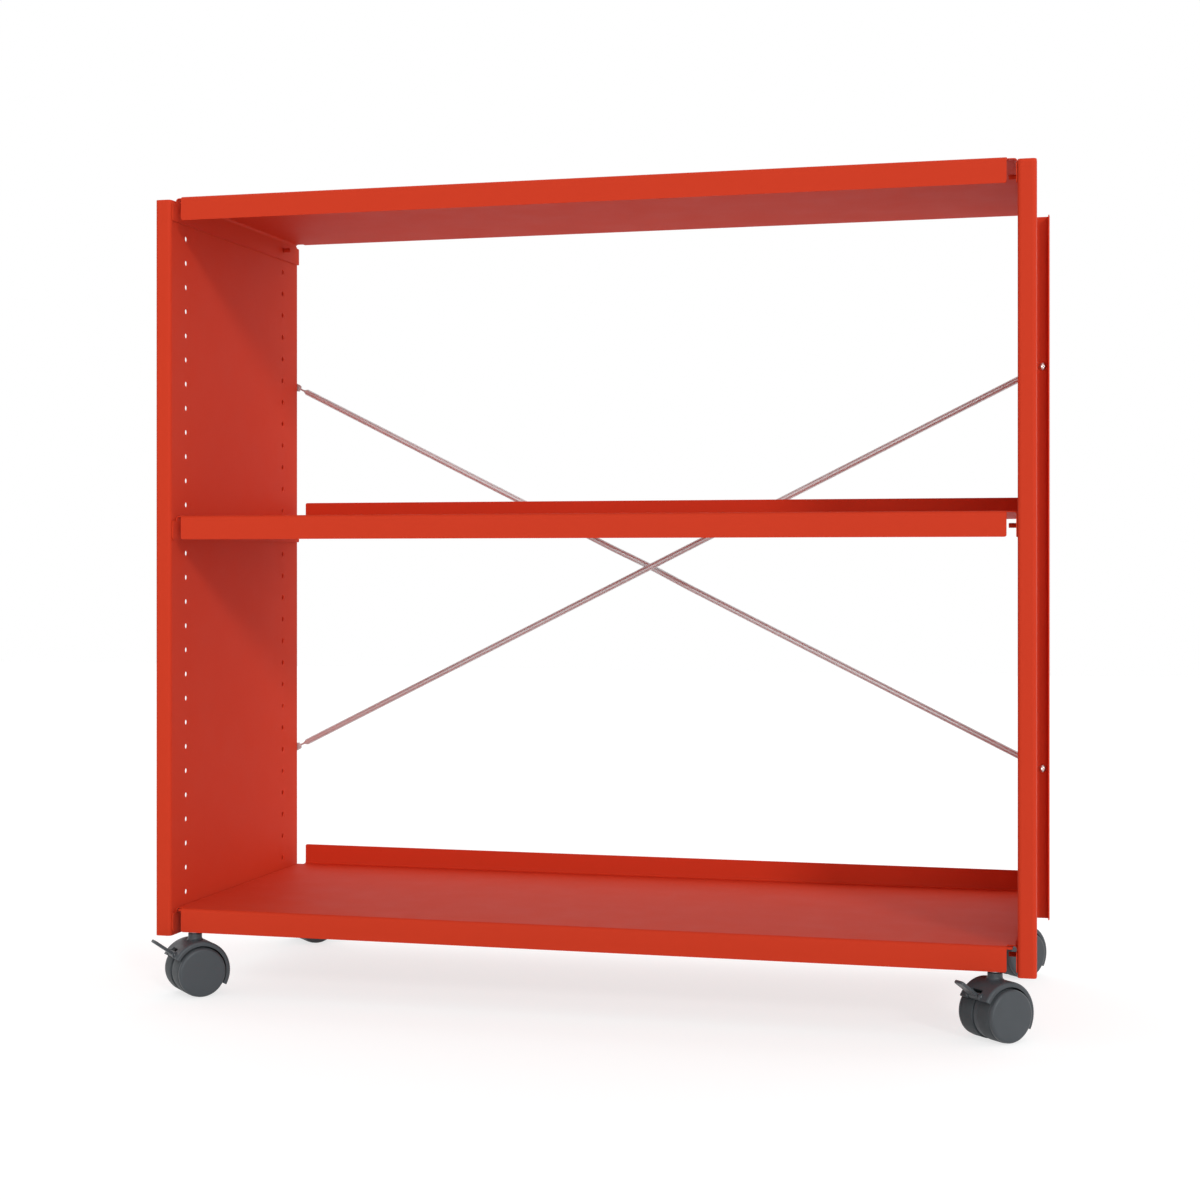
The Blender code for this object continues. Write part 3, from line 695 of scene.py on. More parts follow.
POWDER_COAT = Finish(
    slot="red_powder_coat",
    screen=(202, 59, 34),
    roughness=0.6,
    metallic=0.0,
    tone=(0.008, 5),
    gloss=(0.03, 25),
    relief=(0.00002, 600),
    specular=0.06,
    edge_lift=0.10,
)
GREY_ROD = Finish(
    slot="grey_rod",
    screen=(208, 209, 210),
    roughness=0.42,
    metallic=0.5,
    tone=(0.02, 60),
    gloss=(0.05, 90),
    relief=(0.000004, 1500),
    specular=0.4,
)
BRIGHT_ZINC = Finish(
    slot="bright_zinc",
    screen=(222, 223, 220),
    roughness=0.3,
    metallic=1.0,
    tone=(0.08, 500),
    gloss=(0.1, 350),
    relief=(0.000008, 2500),
)
SLATE_PLASTIC = Finish(
    slot="slate_plastic",
    screen=(70, 75, 79),
    roughness=0.4,
    metallic=0.0,
    tone=(0.03, 60),
    gloss=(0.06, 90),
    relief=(0.000015, 2600),
    specular=0.3,
)
DARK_TREAD = Finish(
    slot="dark_tread",
    screen=(62, 67, 70),
    roughness=0.6,
    metallic=0.0,
    tone=(0.05, 120),
    gloss=(0.06, 150),
    relief=(0.00003, 1800),
    specular=0.3,
)
BARE_STEEL = Finish(
    slot="bare_steel",
    screen=(158, 160, 162),
    roughness=0.34,
    metallic=1.0,
    tone=(0.06, 300),
    gloss=(0.08, 300),
    relief=(0.000008, 3000),
)


def make_piece(
    name: str,
    surface: Surface,
    finish: Finish,
    body: str,
    node: str,
    sheet: float = 0.0,
    edge: float = 0.0,
) -> None:
    """Turns a surface into a finished piece that stands for a node and rides on its body.

    Args:
        name: The piece's name.
        surface: Its surface, which is a sheet's middle surface if sheet is given.
        finish: Its finish.
        body: The body that it moves with.
        node: The node that it stands for.
        sheet: The sheet's thickness, or nought for a closed surface.
        edge: The rounding of a sheet's cut edges.
    """
    used, corners = np.unique(surface.faces, return_inverse=True)
    mesh = bpy.data.meshes.new(name)
    mesh.from_pydata(surface.points[used].tolist(), [], corners.reshape(-1, 4).tolist())
    bm = bmesh.new()
    bm.from_mesh(mesh)
    bmesh.ops.remove_doubles(bm, verts=bm.verts, dist=WELD)
    bmesh.ops.recalc_face_normals(bm, faces=bm.faces)
    bm.to_mesh(mesh)
    bm.free()
    mesh.shade_smooth()
    piece = bpy.data.objects.new(name, mesh)
    bpy.context.scene.collection.objects.link(piece)
    if sheet:
        mark_rim(mesh)
        give_thickness(piece, sheet, edge)
    else:
        mesh.set_sharp_from_angle(angle=SHARP_ANGLE)
    mesh.materials.append(finish.material())
    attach(piece, body)
    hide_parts(node)
    LOG.info("%s: %d faces, in %s, on %s", name, len(mesh.polygons), finish.slot, body)


def mark_rim(mesh: bpy.types.Mesh) -> None:
    """Gives the points of a sheet's cut edges, which are those with a face on one side alone, a rim of one.

    Args:
        mesh: The sheet's middle surface.
    """
    sides = np.zeros(len(mesh.loops), dtype=np.int32)
    mesh.loops.foreach_get("edge_index", sides)
    ends = np.zeros(2 * len(mesh.edges), dtype=np.int32)
    mesh.edges.foreach_get("vertices", ends)
    cut = np.bincount(sides, minlength=len(mesh.edges)) == 1
    rim = np.zeros(len(mesh.vertices), dtype=np.float32)
    rim[ends.reshape(-1, 2)[cut]] = 1
    mesh.attributes.new("rim", "FLOAT", "POINT").data.foreach_set("value", rim)


def give_thickness(piece: bpy.types.Object, sheet: float, edge: float) -> None:
    """Gives a middle surface its sheet, rounds the cut edges and keeps its flats flat.

    Args:
        piece: The piece, with its middle surface as its mesh.
        sheet: The sheet's thickness.
        edge: The rounding of its cut edges.
    """
    wall = piece.modifiers.new("sheet", "SOLIDIFY")
    wall.thickness = sheet
    wall.offset = 0
    wall.use_even_offset = True
    rounding = piece.modifiers.new("cut_edges", "BEVEL")
    rounding.width = edge
    rounding.segments = CUT_SEGMENTS
    rounding.limit_method = "ANGLE"
    rounding.angle_limit = CUT_ANGLE
    flats = piece.modifiers.new("flats", "WEIGHTED_NORMAL")
    flats.keep_sharp = True


@dataclass
class SidePanel:
    """A C-section open to the outside: the web with its rows of holes, two flanges and their return lips.

    Attributes:
        side: The end of the unit that it closes.
        sheet: The sheet's thickness.
        bend: The radius of the bends, on the middle surface.
        lip: The width of the return lips.
        pitch: From one adjusting hole to the next.
        first_hole: From the panel's lower end to the first hole.
        hole_count: The holes in a row.
        hole_radius: The adjusting holes' radius.
        screw_hole_radius: The radius of the brace screws' holes in the rear flange.
        cell: Half the width of the sheet's cell round a hole.
        screw_cell: The same round a brace screw's hole.
        edge: The rounding of cut edges.
        margin: From a bend to the next line beside it.
    """

    side: Side
    sheet: float = 0.0012
    bend: float = 0.003
    lip: float = 0.014
    pitch: float = 0.025
    first_hole: float = 0.015
    hole_count: int = 30
    hole_radius: float = 0.0028
    screw_hole_radius: float = 0.00255
    cell: float = 0.009
    screw_cell: float = 0.0036
    edge: float = 0.00025
    margin: float = 0.001

    def __post_init__(self) -> None:
        """Takes the panel's limits from its solid."""
        self.node = f"{self.side.word}_side_panel"
        self.low, self.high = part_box(self.node)
        self.web = min(abs(self.low.x), abs(self.high.x)) + self.sheet / 2

    def section(self) -> FoldedSection:
        """The middle line from the front lip round to the rear lip, for the right-hand end.

        Returns:
            The line, in X and Y.
        """
        lip = max(abs(self.low.x), abs(self.high.x)) - self.sheet / 2
        front, rear = self.low.y + self.sheet / 2, self.high.y - self.sheet / 2
        front_half = [(lip, self.low.y + self.lip), (lip, front), (self.web, front)]
        rear_half = [(self.web, rear), (lip, rear), (lip, self.high.y - self.lip)]
        return FoldedSection([*front_half, *rear_half], self.bend)

    def cell_along(self, height: float) -> tuple[float, float]:
        """The span of the row of cells, one pitch tall, that a height lies in.

        Args:
            height: The height above the panel's lower end.

        Returns:
            The span.
        """
        first = self.first_hole - self.pitch / 2
        start = first + self.pitch * math.floor((height - first) / self.pitch)
        return round(start, DECIMALS), round(min(start + self.pitch, self.high.z - self.low.z), DECIMALS)

    def holes(self, section: FoldedSection) -> list[Hole]:
        """The adjusting holes, in line with the shelves' bolts, and the brace screws' holes.

        Args:
            section: The panel's middle line.

        Returns:
            The holes.
        """
        flange = self.high.y - self.sheet / 2
        holes = []
        for row in Row:
            bolt = ShelfBolt(Level.TOP, row, self.side).place()
            across = section.where(self.web, bolt[1])
            span = span_about(across, self.cell)
            for step in range(self.hole_count):
                along = self.first_hole + step * self.pitch
                holes.append(Hole(across, along, self.hole_radius, span, self.cell_along(along)))
        for level in BraceLevel:
            screw = BraceScrew(self.side, level).place()
            across = section.where(abs(screw[0]), flange)
            span = span_about(across, self.screw_cell)
            along = screw[2] - self.low.z
            holes.append(Hole(across, along, self.screw_hole_radius, span, self.cell_along(along)))
        return holes

    def build(self) -> None:
        """Folds the perforated pattern: x and y come from the distance across it, z from that along it."""
        section = self.section()
        ends = np.array([0, self.high.z - self.low.z])
        pattern = FlatPattern(section.lines(self.margin), ends, self.holes(section))

        def fold(across: np.ndarray, along: np.ndarray) -> np.ndarray:
            """The folded place of points of the pattern."""
            x, y = section.at(across)
            return np.stack([x, y, self.low.z + along], axis=-1)

        surface = pattern.surface().mapped(fold)
        surface = surface.mirrored() if self.side is Side.LEFT else surface
        name = f"{self.side.word}_panel"
        make_piece(name, surface, POWDER_COAT, FRAME_BODY, self.node, self.sheet, self.edge)


@dataclass
class ShelfTray:
    """A folded tray: front and end flanges turned down, a rear upstand, and reliefs at its corners.

    Attributes:
        level: Which shelf it is.
        sheet: The sheet's thickness.
        bend: The radius of the bends, on the middle surface.
        upstand: The rear upstand's height above the shelf's surface.
        relief: From the end of the tray to the ends of the front flange and the upstand.
        relief_depth: From the front and rear faces to the ends of the end flanges' folds.
        relief_drop: From the shelf's surface down to where the end flanges have their full length.
        relief_edge: The height over which they reach it.
        corner: The radius of the flanges' free corners.
        hole_radius: The bolt holes' radius.
        cell: Half the size of the sheet's cell round a bolt hole, along Y and up.
        edge: The rounding of cut edges.
        margin: From a bend or an end to the next line beside it.
        bays: Quads along the tray.
    """

    level: Level
    sheet: float = 0.001
    bend: float = 0.003
    upstand: float = 0.022
    relief: float = 0.0097
    relief_depth: float = 0.0085
    relief_drop: float = 0.005
    relief_edge: float = 0.0002
    corner: float = 0.002
    hole_radius: float = 0.0028
    cell: tuple[float, float] = (0.009, 0.006)
    edge: float = 0.0002
    margin: float = 0.001
    bays: int = 32

    def __post_init__(self) -> None:
        """Takes the tray's limits from its solid."""
        self.node = f"{self.level.word}_shelf"
        self.low, self.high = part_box(self.node)
        self.plane = self.high.z - self.upstand - self.sheet / 2
        self.inner = self.high.x - self.relief
        self.span = (self.low.y + self.relief_depth, self.high.y - self.relief_depth)

    def end_lines(self) -> tuple[np.ndarray, list[Hole], FoldedSection]:
        """What the tray's ends are made from.

        Returns:
            The lines along Y that they share with the tray's middle, their holes, and their middle line.
        """
        end = self.high.x - self.sheet / 2
        section = FoldedSection([(self.inner, self.plane), (end, self.plane), (end, self.low.z)], self.bend)
        holes = []
        for row in Row:
            place = ShelfBolt(self.level, row, Side.RIGHT).place()
            across = section.where(end, place[2])
            spans = span_about(across, self.cell[1]), span_about(place[1], self.cell[0])
            holes.append(Hole(across, place[1], self.hole_radius, *spans))
        inside = np.array([self.span[0] + self.margin, 0, self.span[1] - self.margin])
        return np.concatenate([np.array(self.span), inside]), holes, section

    def end_surface(self) -> tuple[Surface, np.ndarray]:
        """The right-hand end flange, folded down, and its lines along Y.

        The distance across the pattern gives x and z. Below the reliefs, the flange's two ends move out to
        the tray's full depth, less what their rounded corners take away.

        Returns:
            The surface and the lines.
        """
        along, holes, section = self.end_lines()
        total = section.length[-1]
        rounding = corner_lines(self.corner)
        relief = section.where(section.line[-1, 0], self.high.z - self.upstand - self.relief_drop)
        edges = [relief + rounding, total - rounding, [relief - self.relief_edge]]
        pattern = FlatPattern(np.concatenate([section.lines(self.margin), *edges]), along, holes)

        def fold(distance: np.ndarray, y: np.ndarray) -> np.ndarray:
            """The folded place of points of the pattern.

            Args:
                distance: Their distance across it.
                y: Their place along it.

            Returns:
                The places.
            """
            x, z = section.at(distance)
            longer = self.relief_depth - corner_loss(distance - relief, self.corner)
            longer = longer * np.clip((distance - relief) / self.relief_edge + 1, 0, 1)
            longer = longer - corner_loss(total - distance, self.corner)
            rearward = (y > self.span[1] - WELD).astype(float) - (y < self.span[0] + WELD)
            return np.stack([x, y + rearward * longer, z], axis=-1)

        return pattern.surface().mapped(fold), pattern.along

    def middle_surface(self, lines: np.ndarray) -> Surface:
        """The tray between its reliefs: front flange, plate and upstand.

        The distance across the pattern gives y and z, and x = t (inner - loss), with t from -1 to 1.

        Args:
            lines: The lines along Y that it shares with the ends.

        Returns:
            The surface.
        """
        front, rear = self.low.y + self.sheet / 2, self.high.y - self.sheet / 2
        corners = [(front, self.low.z), (front, self.plane), (rear, self.plane), (rear, self.high.z)]
        section = FoldedSection(corners, self.bend)
        total, rounding = section.length[-1], corner_lines(self.corner)
        shared = np.array([section.where(y, self.plane) for y in lines])
        across = np.concatenate([section.lines(self.margin), rounding, total - rounding, shared])
        share = 1 - self.margin / self.inner
        along = np.concatenate([np.linspace(-1, 1, self.bays + 1), [-share, share]])

        def fold(distance: np.ndarray, t: np.ndarray) -> np.ndarray:
            """The folded place of points of the pattern.

            Args:
                distance: Their distance across it.
                t: Their share of the way from the middle to the reliefs.

            Returns:
                The places.
            """
            y, z = section.at(distance)
            loss = corner_loss(np.minimum(distance, total - distance), self.corner)
            return np.stack([t * (self.inner - loss), y, z], axis=-1)

        return FlatPattern(across, along, []).surface().mapped(fold)

    def build(self) -> None:
        """Joins the middle and both ends into one folded sheet."""
        end, lines = self.end_surface()
        surface = self.middle_surface(lines) + end + end.mirrored()
        name = f"{self.level.word}_tray"
        make_piece(name, surface, POWDER_COAT, FRAME_BODY, self.node, self.sheet, self.edge)


def hexagon(angle: np.ndarray, flats: float) -> np.ndarray:
    """A hexagon's radius at each angle: half its width across flats over the cosine to the next flat."""
    sixth = FULL_TURN / 6
    return flats / 2 / np.cos(np.mod(angle, sixth) - sixth / 2)


@dataclass(frozen=True)
class Thread:
    """A screw thread that runs down Z from nought and tapers to its root over the last turn.

    Attributes:
        radius: Over the crests.
        pitch: From crest to crest.
        depth: From crest to root.
    """

    radius: float
    pitch: float
    depth: float

    def rows(self, length: float, angle: np.ndarray) -> RingRow:
        """At height h and angle a, r = radius - depth |2 frac(h / pitch - a / turn) - 1|.

        Args:
            length: How far the thread runs down.
            angle: The angles.

        Returns:
            r on rows x angles, and h on rows.
        """
        height = np.linspace(0, -length, 1 + THREAD_ROWS * round(length / self.pitch))[:, None]
        phase = np.mod(height / self.pitch - angle / FULL_TURN, 1)
        taper = np.clip((height + length) / self.pitch, 0.0, 1.0)
        return self.radius - self.depth * np.maximum(np.abs(2 * phase - 1), 1 - taper), height


@dataclass
class ShelfBolt:
    """A hexagon bolt that holds a corner of a shelf to the web.

    Attributes:
        level: The shelf that it holds.
        row: Front or rear.
        side: The end that it is at.
        flats: The head's width across flats.
        head: The head's height.
        crown: The radius where the head's chamfer starts.
        chamfer: The chamfer's angle.
        washer: The radius and height of the washer face under the head.
        thread: The thread of its shank.
        twist: How far it is turned towards its row, and for each letter of its shelf's name.
        steps: Quads round it.
    """

    level: Level
    row: Row
    side: Side
    flats: float = 0.008
    head: float = 0.0032
    crown: float = 0.0037
    chamfer: float = math.radians(30)
    washer: tuple[float, float] = (0.0038, 0.0003)
    thread: Thread = Thread(radius=0.0025, pitch=0.0008, depth=0.0004)
    twist: tuple[float, float] = (0.4, 0.7)
    steps: int = 36

    def __post_init__(self) -> None:
        """Names the node that it stands for."""
        self.node = f"{self.level.word}_shelf_{self.row.word}_{self.side.word}_bolt"

    def place(self) -> np.ndarray:
        """The middle of the seat under its head.

        Returns:
            The place.
        """
        low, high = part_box(self.node)
        tip = max(abs(low.x), abs(high.x)) * self.side.value
        return np.array([tip - self.side.value * self.head, (low.y + high.y) / 2, (low.z + high.z) / 2])

    def build(self) -> None:
        """The plated head, a hexagon that a cone cuts off, and the painted thread, both round Z."""
        low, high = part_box(self.node)
        angle = round_angles(self.steps)
        side = hexagon(angle, self.flats)
        face, seat = self.washer
        rows = [
            (0, self.head),
            (self.crown, self.head),
            (side, self.head - (side - self.crown) * math.tan(self.chamfer)),
            (side, seat),
            (face, seat),
            (face, 0),
            (0, 0),
        ]
        length = high.x - low.x - self.head
        shank = ringed([(0, 0), self.thread.rows(length, angle), (0, -length)], angle)
        by_row, by_letter = self.twist
        spin = turn_about(Axis.Z, by_row * self.row.value + by_letter * len(self.level.word))
        outward = turn_about(Axis.Y, self.side.value * math.pi / 2) @ spin
        name = f"{self.level.word}_tray_{self.row.word}_{self.side.word}_bolt"
        head = ringed(rows, angle).moved(outward, self.place())
        make_piece(name, head, BRIGHT_ZINC, FRAME_BODY, self.node)
        make_piece(f"{name}_end", shank.moved(outward, self.place()), POWDER_COAT, FRAME_BODY, self.node)


@dataclass
class BraceScrew:
    """A button-head screw with a hexagon socket, from inside a rear flange into a rod's lug.

    Attributes:
        side: The end that it is at.
        level: Its height.
        head: The head's height.
        head_radius: The head's radius.
        socket: The socket's width across flats.
        socket_depth: The socket's depth.
        socket_cone: How much deeper the socket's middle is.
        brim: The radius at which the dome ends, over half the socket's width.
        dome_rows: Rows of points over the dome.
        thread: The thread of its shank.
        steps: Quads round it.
    """

    side: Side
    level: BraceLevel
    head: float = 0.0025
    head_radius: float = 0.00415
    socket: float = 0.0027
    socket_depth: float = 0.0014
    socket_cone: float = 0.00045
    brim: float = 1.25
    dome_rows: int = 7
    thread: Thread = Thread(radius=0.00225, pitch=0.0007, depth=0.00035)
    steps: int = 36

    def __post_init__(self) -> None:
        """Names the node that it stands for."""
        self.node = f"{self.side.word}_{self.level.word}_brace_screw"

    def place(self) -> np.ndarray:
        """The middle of the seat under its head."""
        low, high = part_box(self.node)
        return np.array([(low.x + high.x) / 2, low.y + self.head, (low.z + high.z) / 2])

    def build(self) -> None:
        """Socket, domed head and thread as one surface round Z.

        The dome is a quarter ellipse: r = head radius cos b and h = head sin b, up to the socket's rim.
        """
        low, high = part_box(self.node)
        angle = round_angles(self.steps)
        hollow = hexagon(angle, self.socket)
        rim = math.acos(self.brim * self.socket / 2 / self.head_radius)
        dome = np.linspace(rim, 0, self.dome_rows)[:, None]
        top = self.head * math.sin(rim)
        floor = top - self.socket_depth
        length = high.y - low.y - self.head
        rows = [
            (0, floor - self.socket_cone),
            (hollow, floor),
            (hollow, top),
            (self.head_radius * np.cos(dome), self.head * np.sin(dome)),
            self.thread.rows(length, angle),
            (0, -length),
        ]
        surface = ringed(rows, angle).moved(turn_about(Axis.X, math.pi / 2), self.place())
        make_piece(f"{self.side.word}_{self.level.word}_screw", surface, BRIGHT_ZINC, FRAME_BODY, self.node)


@dataclass
class BraceRod:
    """A rod between two screws, drawn down to a thin neck and flattened to a lug at each end.

    Attributes:
        slope: Whether it rises or falls to the right.
        radius: The rod's radius.
        crossing_gap: From the one rod to the other where they cross.
        crank_reach: From the crossing to where the rod is straight again.
        seat: From the unit's rear face to the lugs.
        lug: The lug's half width and half thickness.
        lug_length: From the screw to the lug's inner end.
        lug_edge: The chamfer of the lug's rims.
        lug_power: The power that rounds the lug's inner corners.
        lug_steps: Quads round a lug.
        neck: The neck's radius and length.
        shoulder: The length over which the rod is drawn down to the neck.
        hole_radius: The screw holes' radius.
        rings: Rings of points along half the crank, a straight length and a shoulder.
        steps: Quads round the rod.
    """

    slope: Slope
    radius: float = 0.0035
    crossing_gap: float = 0.0004
    crank_reach: float = 0.055
    seat: float = 0.0003
    lug: tuple[float, float] = (0.004, 0.00125)
    lug_length: float = 0.0137
    lug_edge: float = 0.0003
    lug_power: int = 8
    lug_steps: int = 96
    neck: tuple[float, float] = (0.00115, 0.0044)
    shoulder: float = 0.004
    hole_radius: float = 0.00255
    rings: tuple[int, int, int] = (15, 12, 9)
    steps: int = 24

    def __post_init__(self) -> None:
        """Finds how far its middle is cranked back: the falling rod passes behind the other."""
        behind = self.slope is Slope.FALLING
        self.crank = 2 * self.radius + self.crossing_gap if behind else 0.0

    def rod(self, half: float) -> Surface:
        """The rod along X: y = centre + r cos a and z = r sin a, with r and the centre set along it.

        Within its reach, the crank moves the centre back by crank (1 + cos(pi x / reach)) / 2.

        Args:
            half: Half the distance between the screws.

        Returns:
            The rod with its shoulders and necks, closed where the necks end in the lugs.
        """
        end = half - self.lug_length
        start = end - self.neck[1]
        on_crank, on_straight, on_shoulder = self.rings
        cranked = np.linspace(0, self.crank_reach, on_crank)
        straight = np.linspace(self.crank_reach, start - self.shoulder, on_straight)[1:-1]
        shoulder = start - self.shoulder * np.linspace(1, 0, on_shoulder)
        reach = np.concatenate([cranked, straight, shoulder, [end, end + self.neck[0]]])
        x = np.concatenate([-reach[:0:-1], reach])
        share = np.clip((np.abs(x) - start + self.shoulder) / self.shoulder, 0, 1)
        ease = share**2 * (3 - 2 * share)
        turn = math.pi * np.clip(x / self.crank_reach, -1, 1)
        axis = self.seat + self.radius + self.crank * (1 + np.cos(turn)) / 2
        centre = axis + (self.seat + self.lug[1] - axis) * ease
        radius = self.radius + (self.neck[0] - self.radius) * ease
        x = np.concatenate([x[:1], x, x[-1:]])
        centre = np.concatenate([centre[:1], centre, centre[-1:]])
        radius = np.concatenate([[0], radius, [0]])
        angle = round_angles(self.steps)
        y = centre[:, None] + radius[:, None] * np.cos(angle)
        z = radius[:, None] * np.sin(angle)
        places = np.stack([np.broadcast_to(x[:, None], y.shape), y, z], axis=-1)
        return Surface.grid(places, close_columns=True)

    def end_lug(self, half: float) -> Surface:
        """The right-hand lug, round at the screw and square at the neck.

        About the screw, its outline is r = width outwards, and inwards r is the superellipse
        (|cos a / length|^p + |sin a / width|^p)^(-1/p), whose corners are rounded.

        Args:
            half: Half the distance between the screws.

        Returns:
            The lug.
        """
        angle = round_angles(self.lug_steps)
        power = self.lug_power
        along, across = np.cos(angle) / self.lug_length, np.sin(angle) / self.lug[0]
        inward = (np.abs(along) ** power + np.abs(across) ** power) ** (-1 / power)
        outline = np.where(np.cos(angle) > 0, self.lug[0], inward)
        plate = eye_plate(self.hole_radius, outline, self.lug[1], self.lug_edge, angle)
        return plate.moved(turn_about(Axis.X, math.pi / 2), (half, self.seat + self.lug[1], 0))

    def build(self) -> None:
        """Lays the rod between its two screws, on the unit's rear face."""
        levels = BraceLevel.LOWER, BraceLevel.UPPER
        left, right = levels if self.slope is Slope.RISING else levels[::-1]
        start, end = BraceScrew(Side.LEFT, left).place(), BraceScrew(Side.RIGHT, right).place()
        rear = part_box("right_side_panel")[1].y
        run = end - start
        half = math.hypot(run[0], run[2]) / 2
        lug = self.end_lug(half)
        surface = self.rod(half) + lug + lug.mirrored()
        tilt = turn_about(Axis.Y, -math.atan2(run[2], run[0]))
        middle = (start + end) / 2
        surface = surface.moved(tilt, (middle[0], rear, middle[2]))
        name = self.slope.word
        make_piece(f"{name}_rod", surface, GREY_ROD, FRAME_BODY, f"{name}_brace")


@dataclass
class Castor:
    """A hooded twin-wheel castor on a stem under a corner of the bottom tray.

    In its own frame, the origin is on the axle under the stem, X is the rolling direction and Y the axle.

    Attributes:
        row: Front or rear. The front castors have a brake lever.
        side: The end that it is at.
        joints: The unit's joints by name.
        tread: The tyre's outer radius.
        tyre: The tyre's inner radius, and its two faces' distances from the castor's middle.
        tyre_round: The rounding of the tyre's edges.
        cap: The cap's radius, and its two faces' distances from the middle.
        cap_round: The rounding of the cap's rim.
        cap_points: Points round the cap's rim.
        drum: The radius of the drum in the tyre.
        axle: The axle's radius and half its length.
        hood: The inner and outer radius of the hood.
        hood_rim: The inner radius of the rims that the hood's two sides end in, and the bend into them.
        hood_edge: The rounding of the hood's cut edges.
        hood_points: Rows of points round the hood.
        tilt: How far the half-round hood is tipped.
        notch: From the end of the hood's notch to the lever's pivot, about the axle.
        web: Half the thickness, and the radius below the hood, of the web between the wheels.
        web_end: Where the web stops under the lever.
        web_points: Points round the web, under the hood and below it.
        neck: The neck's radius, height above the axle and lower end.
        neck_edge: The chamfer of the neck's upper rims.
        neck_steps: Quads round the neck, an ear and the stem's socket.
        fillet: The radius of the fillet from the neck to the hood.
        fillet_points: Points round the fillet.
        stem: The stem's radius.
        stem_edge: The chamfer of the stem's ends and shoulder.
        stem_steps: Quads round the stem.
        shoulder: The radius of the stem's shoulder, its lower and upper face above the axle.
        groove: The depth of the stem's snap groove, and from the stem's top to its two walls.
        pivot: The radius and angle of the lever's pivot about the axle.
        lever: The lever arm's length, width and thickness.
        lever_tilt: How far the arm rises.
        lever_round: The rounding of the arm's corners and the chamfer of its rims.
        hub: The radius of the lever's hub and the height of its cam.
        hub_steps: Quads round the hub.
        cam: The cam's direction and half its width.
        ear: The ears' outer radius, and their two faces' distances from the middle.
        pin: The lever pin's radius.
        pin_ratio: The radius of a pin or axle over the chamfer of its ends.
        pin_steps: Quads round a pin or axle.
        plate: The corner plate's thickness and the rounding of its corners.
        socket: The outer radius of the stem's socket, and from the plate's top to the end of its bore.
        socket_edge: The chamfer of the socket's lower rims.
        weld: The size of the weld between the socket and the plate.
        rim_edge: The chamfer of the web, the ears, the hub and the plate.
        bead_points: Points round an edge of the tyre and the weld.
        clearance: Round a pin or stem in its hole.
        steps: Quads round a wheel.
    """

    row: Row
    side: Side
    joints: dict[str, dict]
    tread: float = 0.025
    tyre: tuple[float, float, float] = (0.021, 0.0035, 0.0193)
    tyre_round: float = 0.0012
    cap: tuple[float, float, float] = (0.0246, 0.0196, 0.024)
    cap_round: float = 0.0029
    cap_points: int = 7
    drum: float = 0.0207
    axle: tuple[float, float] = (0.003, 0.0197)
    hood: tuple[float, float] = (0.029, 0.031)
    hood_rim: tuple[float, float] = (0.0263, 0.0015)
    hood_edge: float = 0.0004
    hood_points: int = 49
    tilt: float = math.radians(30)
    notch: float = math.radians(12)
    web: tuple[float, float] = (0.0029, 0.0238)
    web_end: float = math.radians(126)
    web_points: tuple[int, int] = (61, 73)
    neck: tuple[float, float, float] = (0.007, 0.0372, 0.0262)
    neck_edge: float = 0.0005
    neck_steps: int = 48
    fillet: float = 0.0025
    fillet_points: int = 8
    stem: float = 0.004
    stem_edge: float = 0.0004
    stem_steps: int = 40
    shoulder: tuple[float, float, float] = (0.0065, 0.0375, 0.039)
    groove: tuple[float, float, float] = (0.0005, 0.002, 0.003)
    pivot: tuple[float, float] = (0.030, math.radians(143))
    lever: tuple[float, float, float] = (0.0251, 0.012, 0.003)
    lever_tilt: float = math.radians(36)
    lever_round: tuple[float, float] = (0.0025, 0.0006)
    hub: tuple[float, float] = (0.003, 0.0013)
    hub_steps: int = 64
    cam: tuple[float, float] = (math.radians(283), 0.28)
    ear: tuple[float, float, float] = (0.0034, 0.0068, 0.0098)
    pin: float = 0.0015
    pin_ratio: float = 6.0
    pin_steps: int = 32
    plate: tuple[float, float] = (0.002, 0.003)
    socket: tuple[float, float] = (0.008, 0.001)
    socket_edge: float = 0.0004
    weld: float = 0.0012
    rim_edge: float = 0.0003
    bead_points: int = 6
    clearance: float = 0.0003
    steps: int = 72

    def __post_init__(self) -> None:
        """Takes the castor's place and turn from its joints."""
        self.name = f"{self.row.word}_{self.side.word}"
        self.swivel = f"{self.name}_swivel"
        self.braked = self.row is Row.FRONT
        self.centre = np.array(self.joints[f"{self.swivel}_turn"]["pos_m"])
        axle = np.array(self.joints[f"{self.name}_left_wheel_spin"]["axis"])
        x, y, _ = axle if axle[1] >= 0 else -axle
        self.heading = turn_about(Axis.Z, math.atan2(-x, y))
        distance, angle = self.pivot
        self.pivot_place = distance * np.array([math.cos(angle), 0, math.sin(angle)])
        self.crown, self.wall = sum(self.hood) / 2, self.hood[1] - self.hood[0]

    def placed(self, surface: Surface) -> Surface:
        """A surface in the castor's own frame, laid where the castor is."""
        return surface.moved(self.heading, self.centre)

    def add(self, piece: str, surface: Surface, finish: Finish, body: str) -> None:
        """Makes one of the castor's pieces, in place of the node of the same name."""
        node = f"{self.name}_castor_{piece}"
        make_piece(f"{self.name}_{piece}", self.placed(surface), finish, body, node)

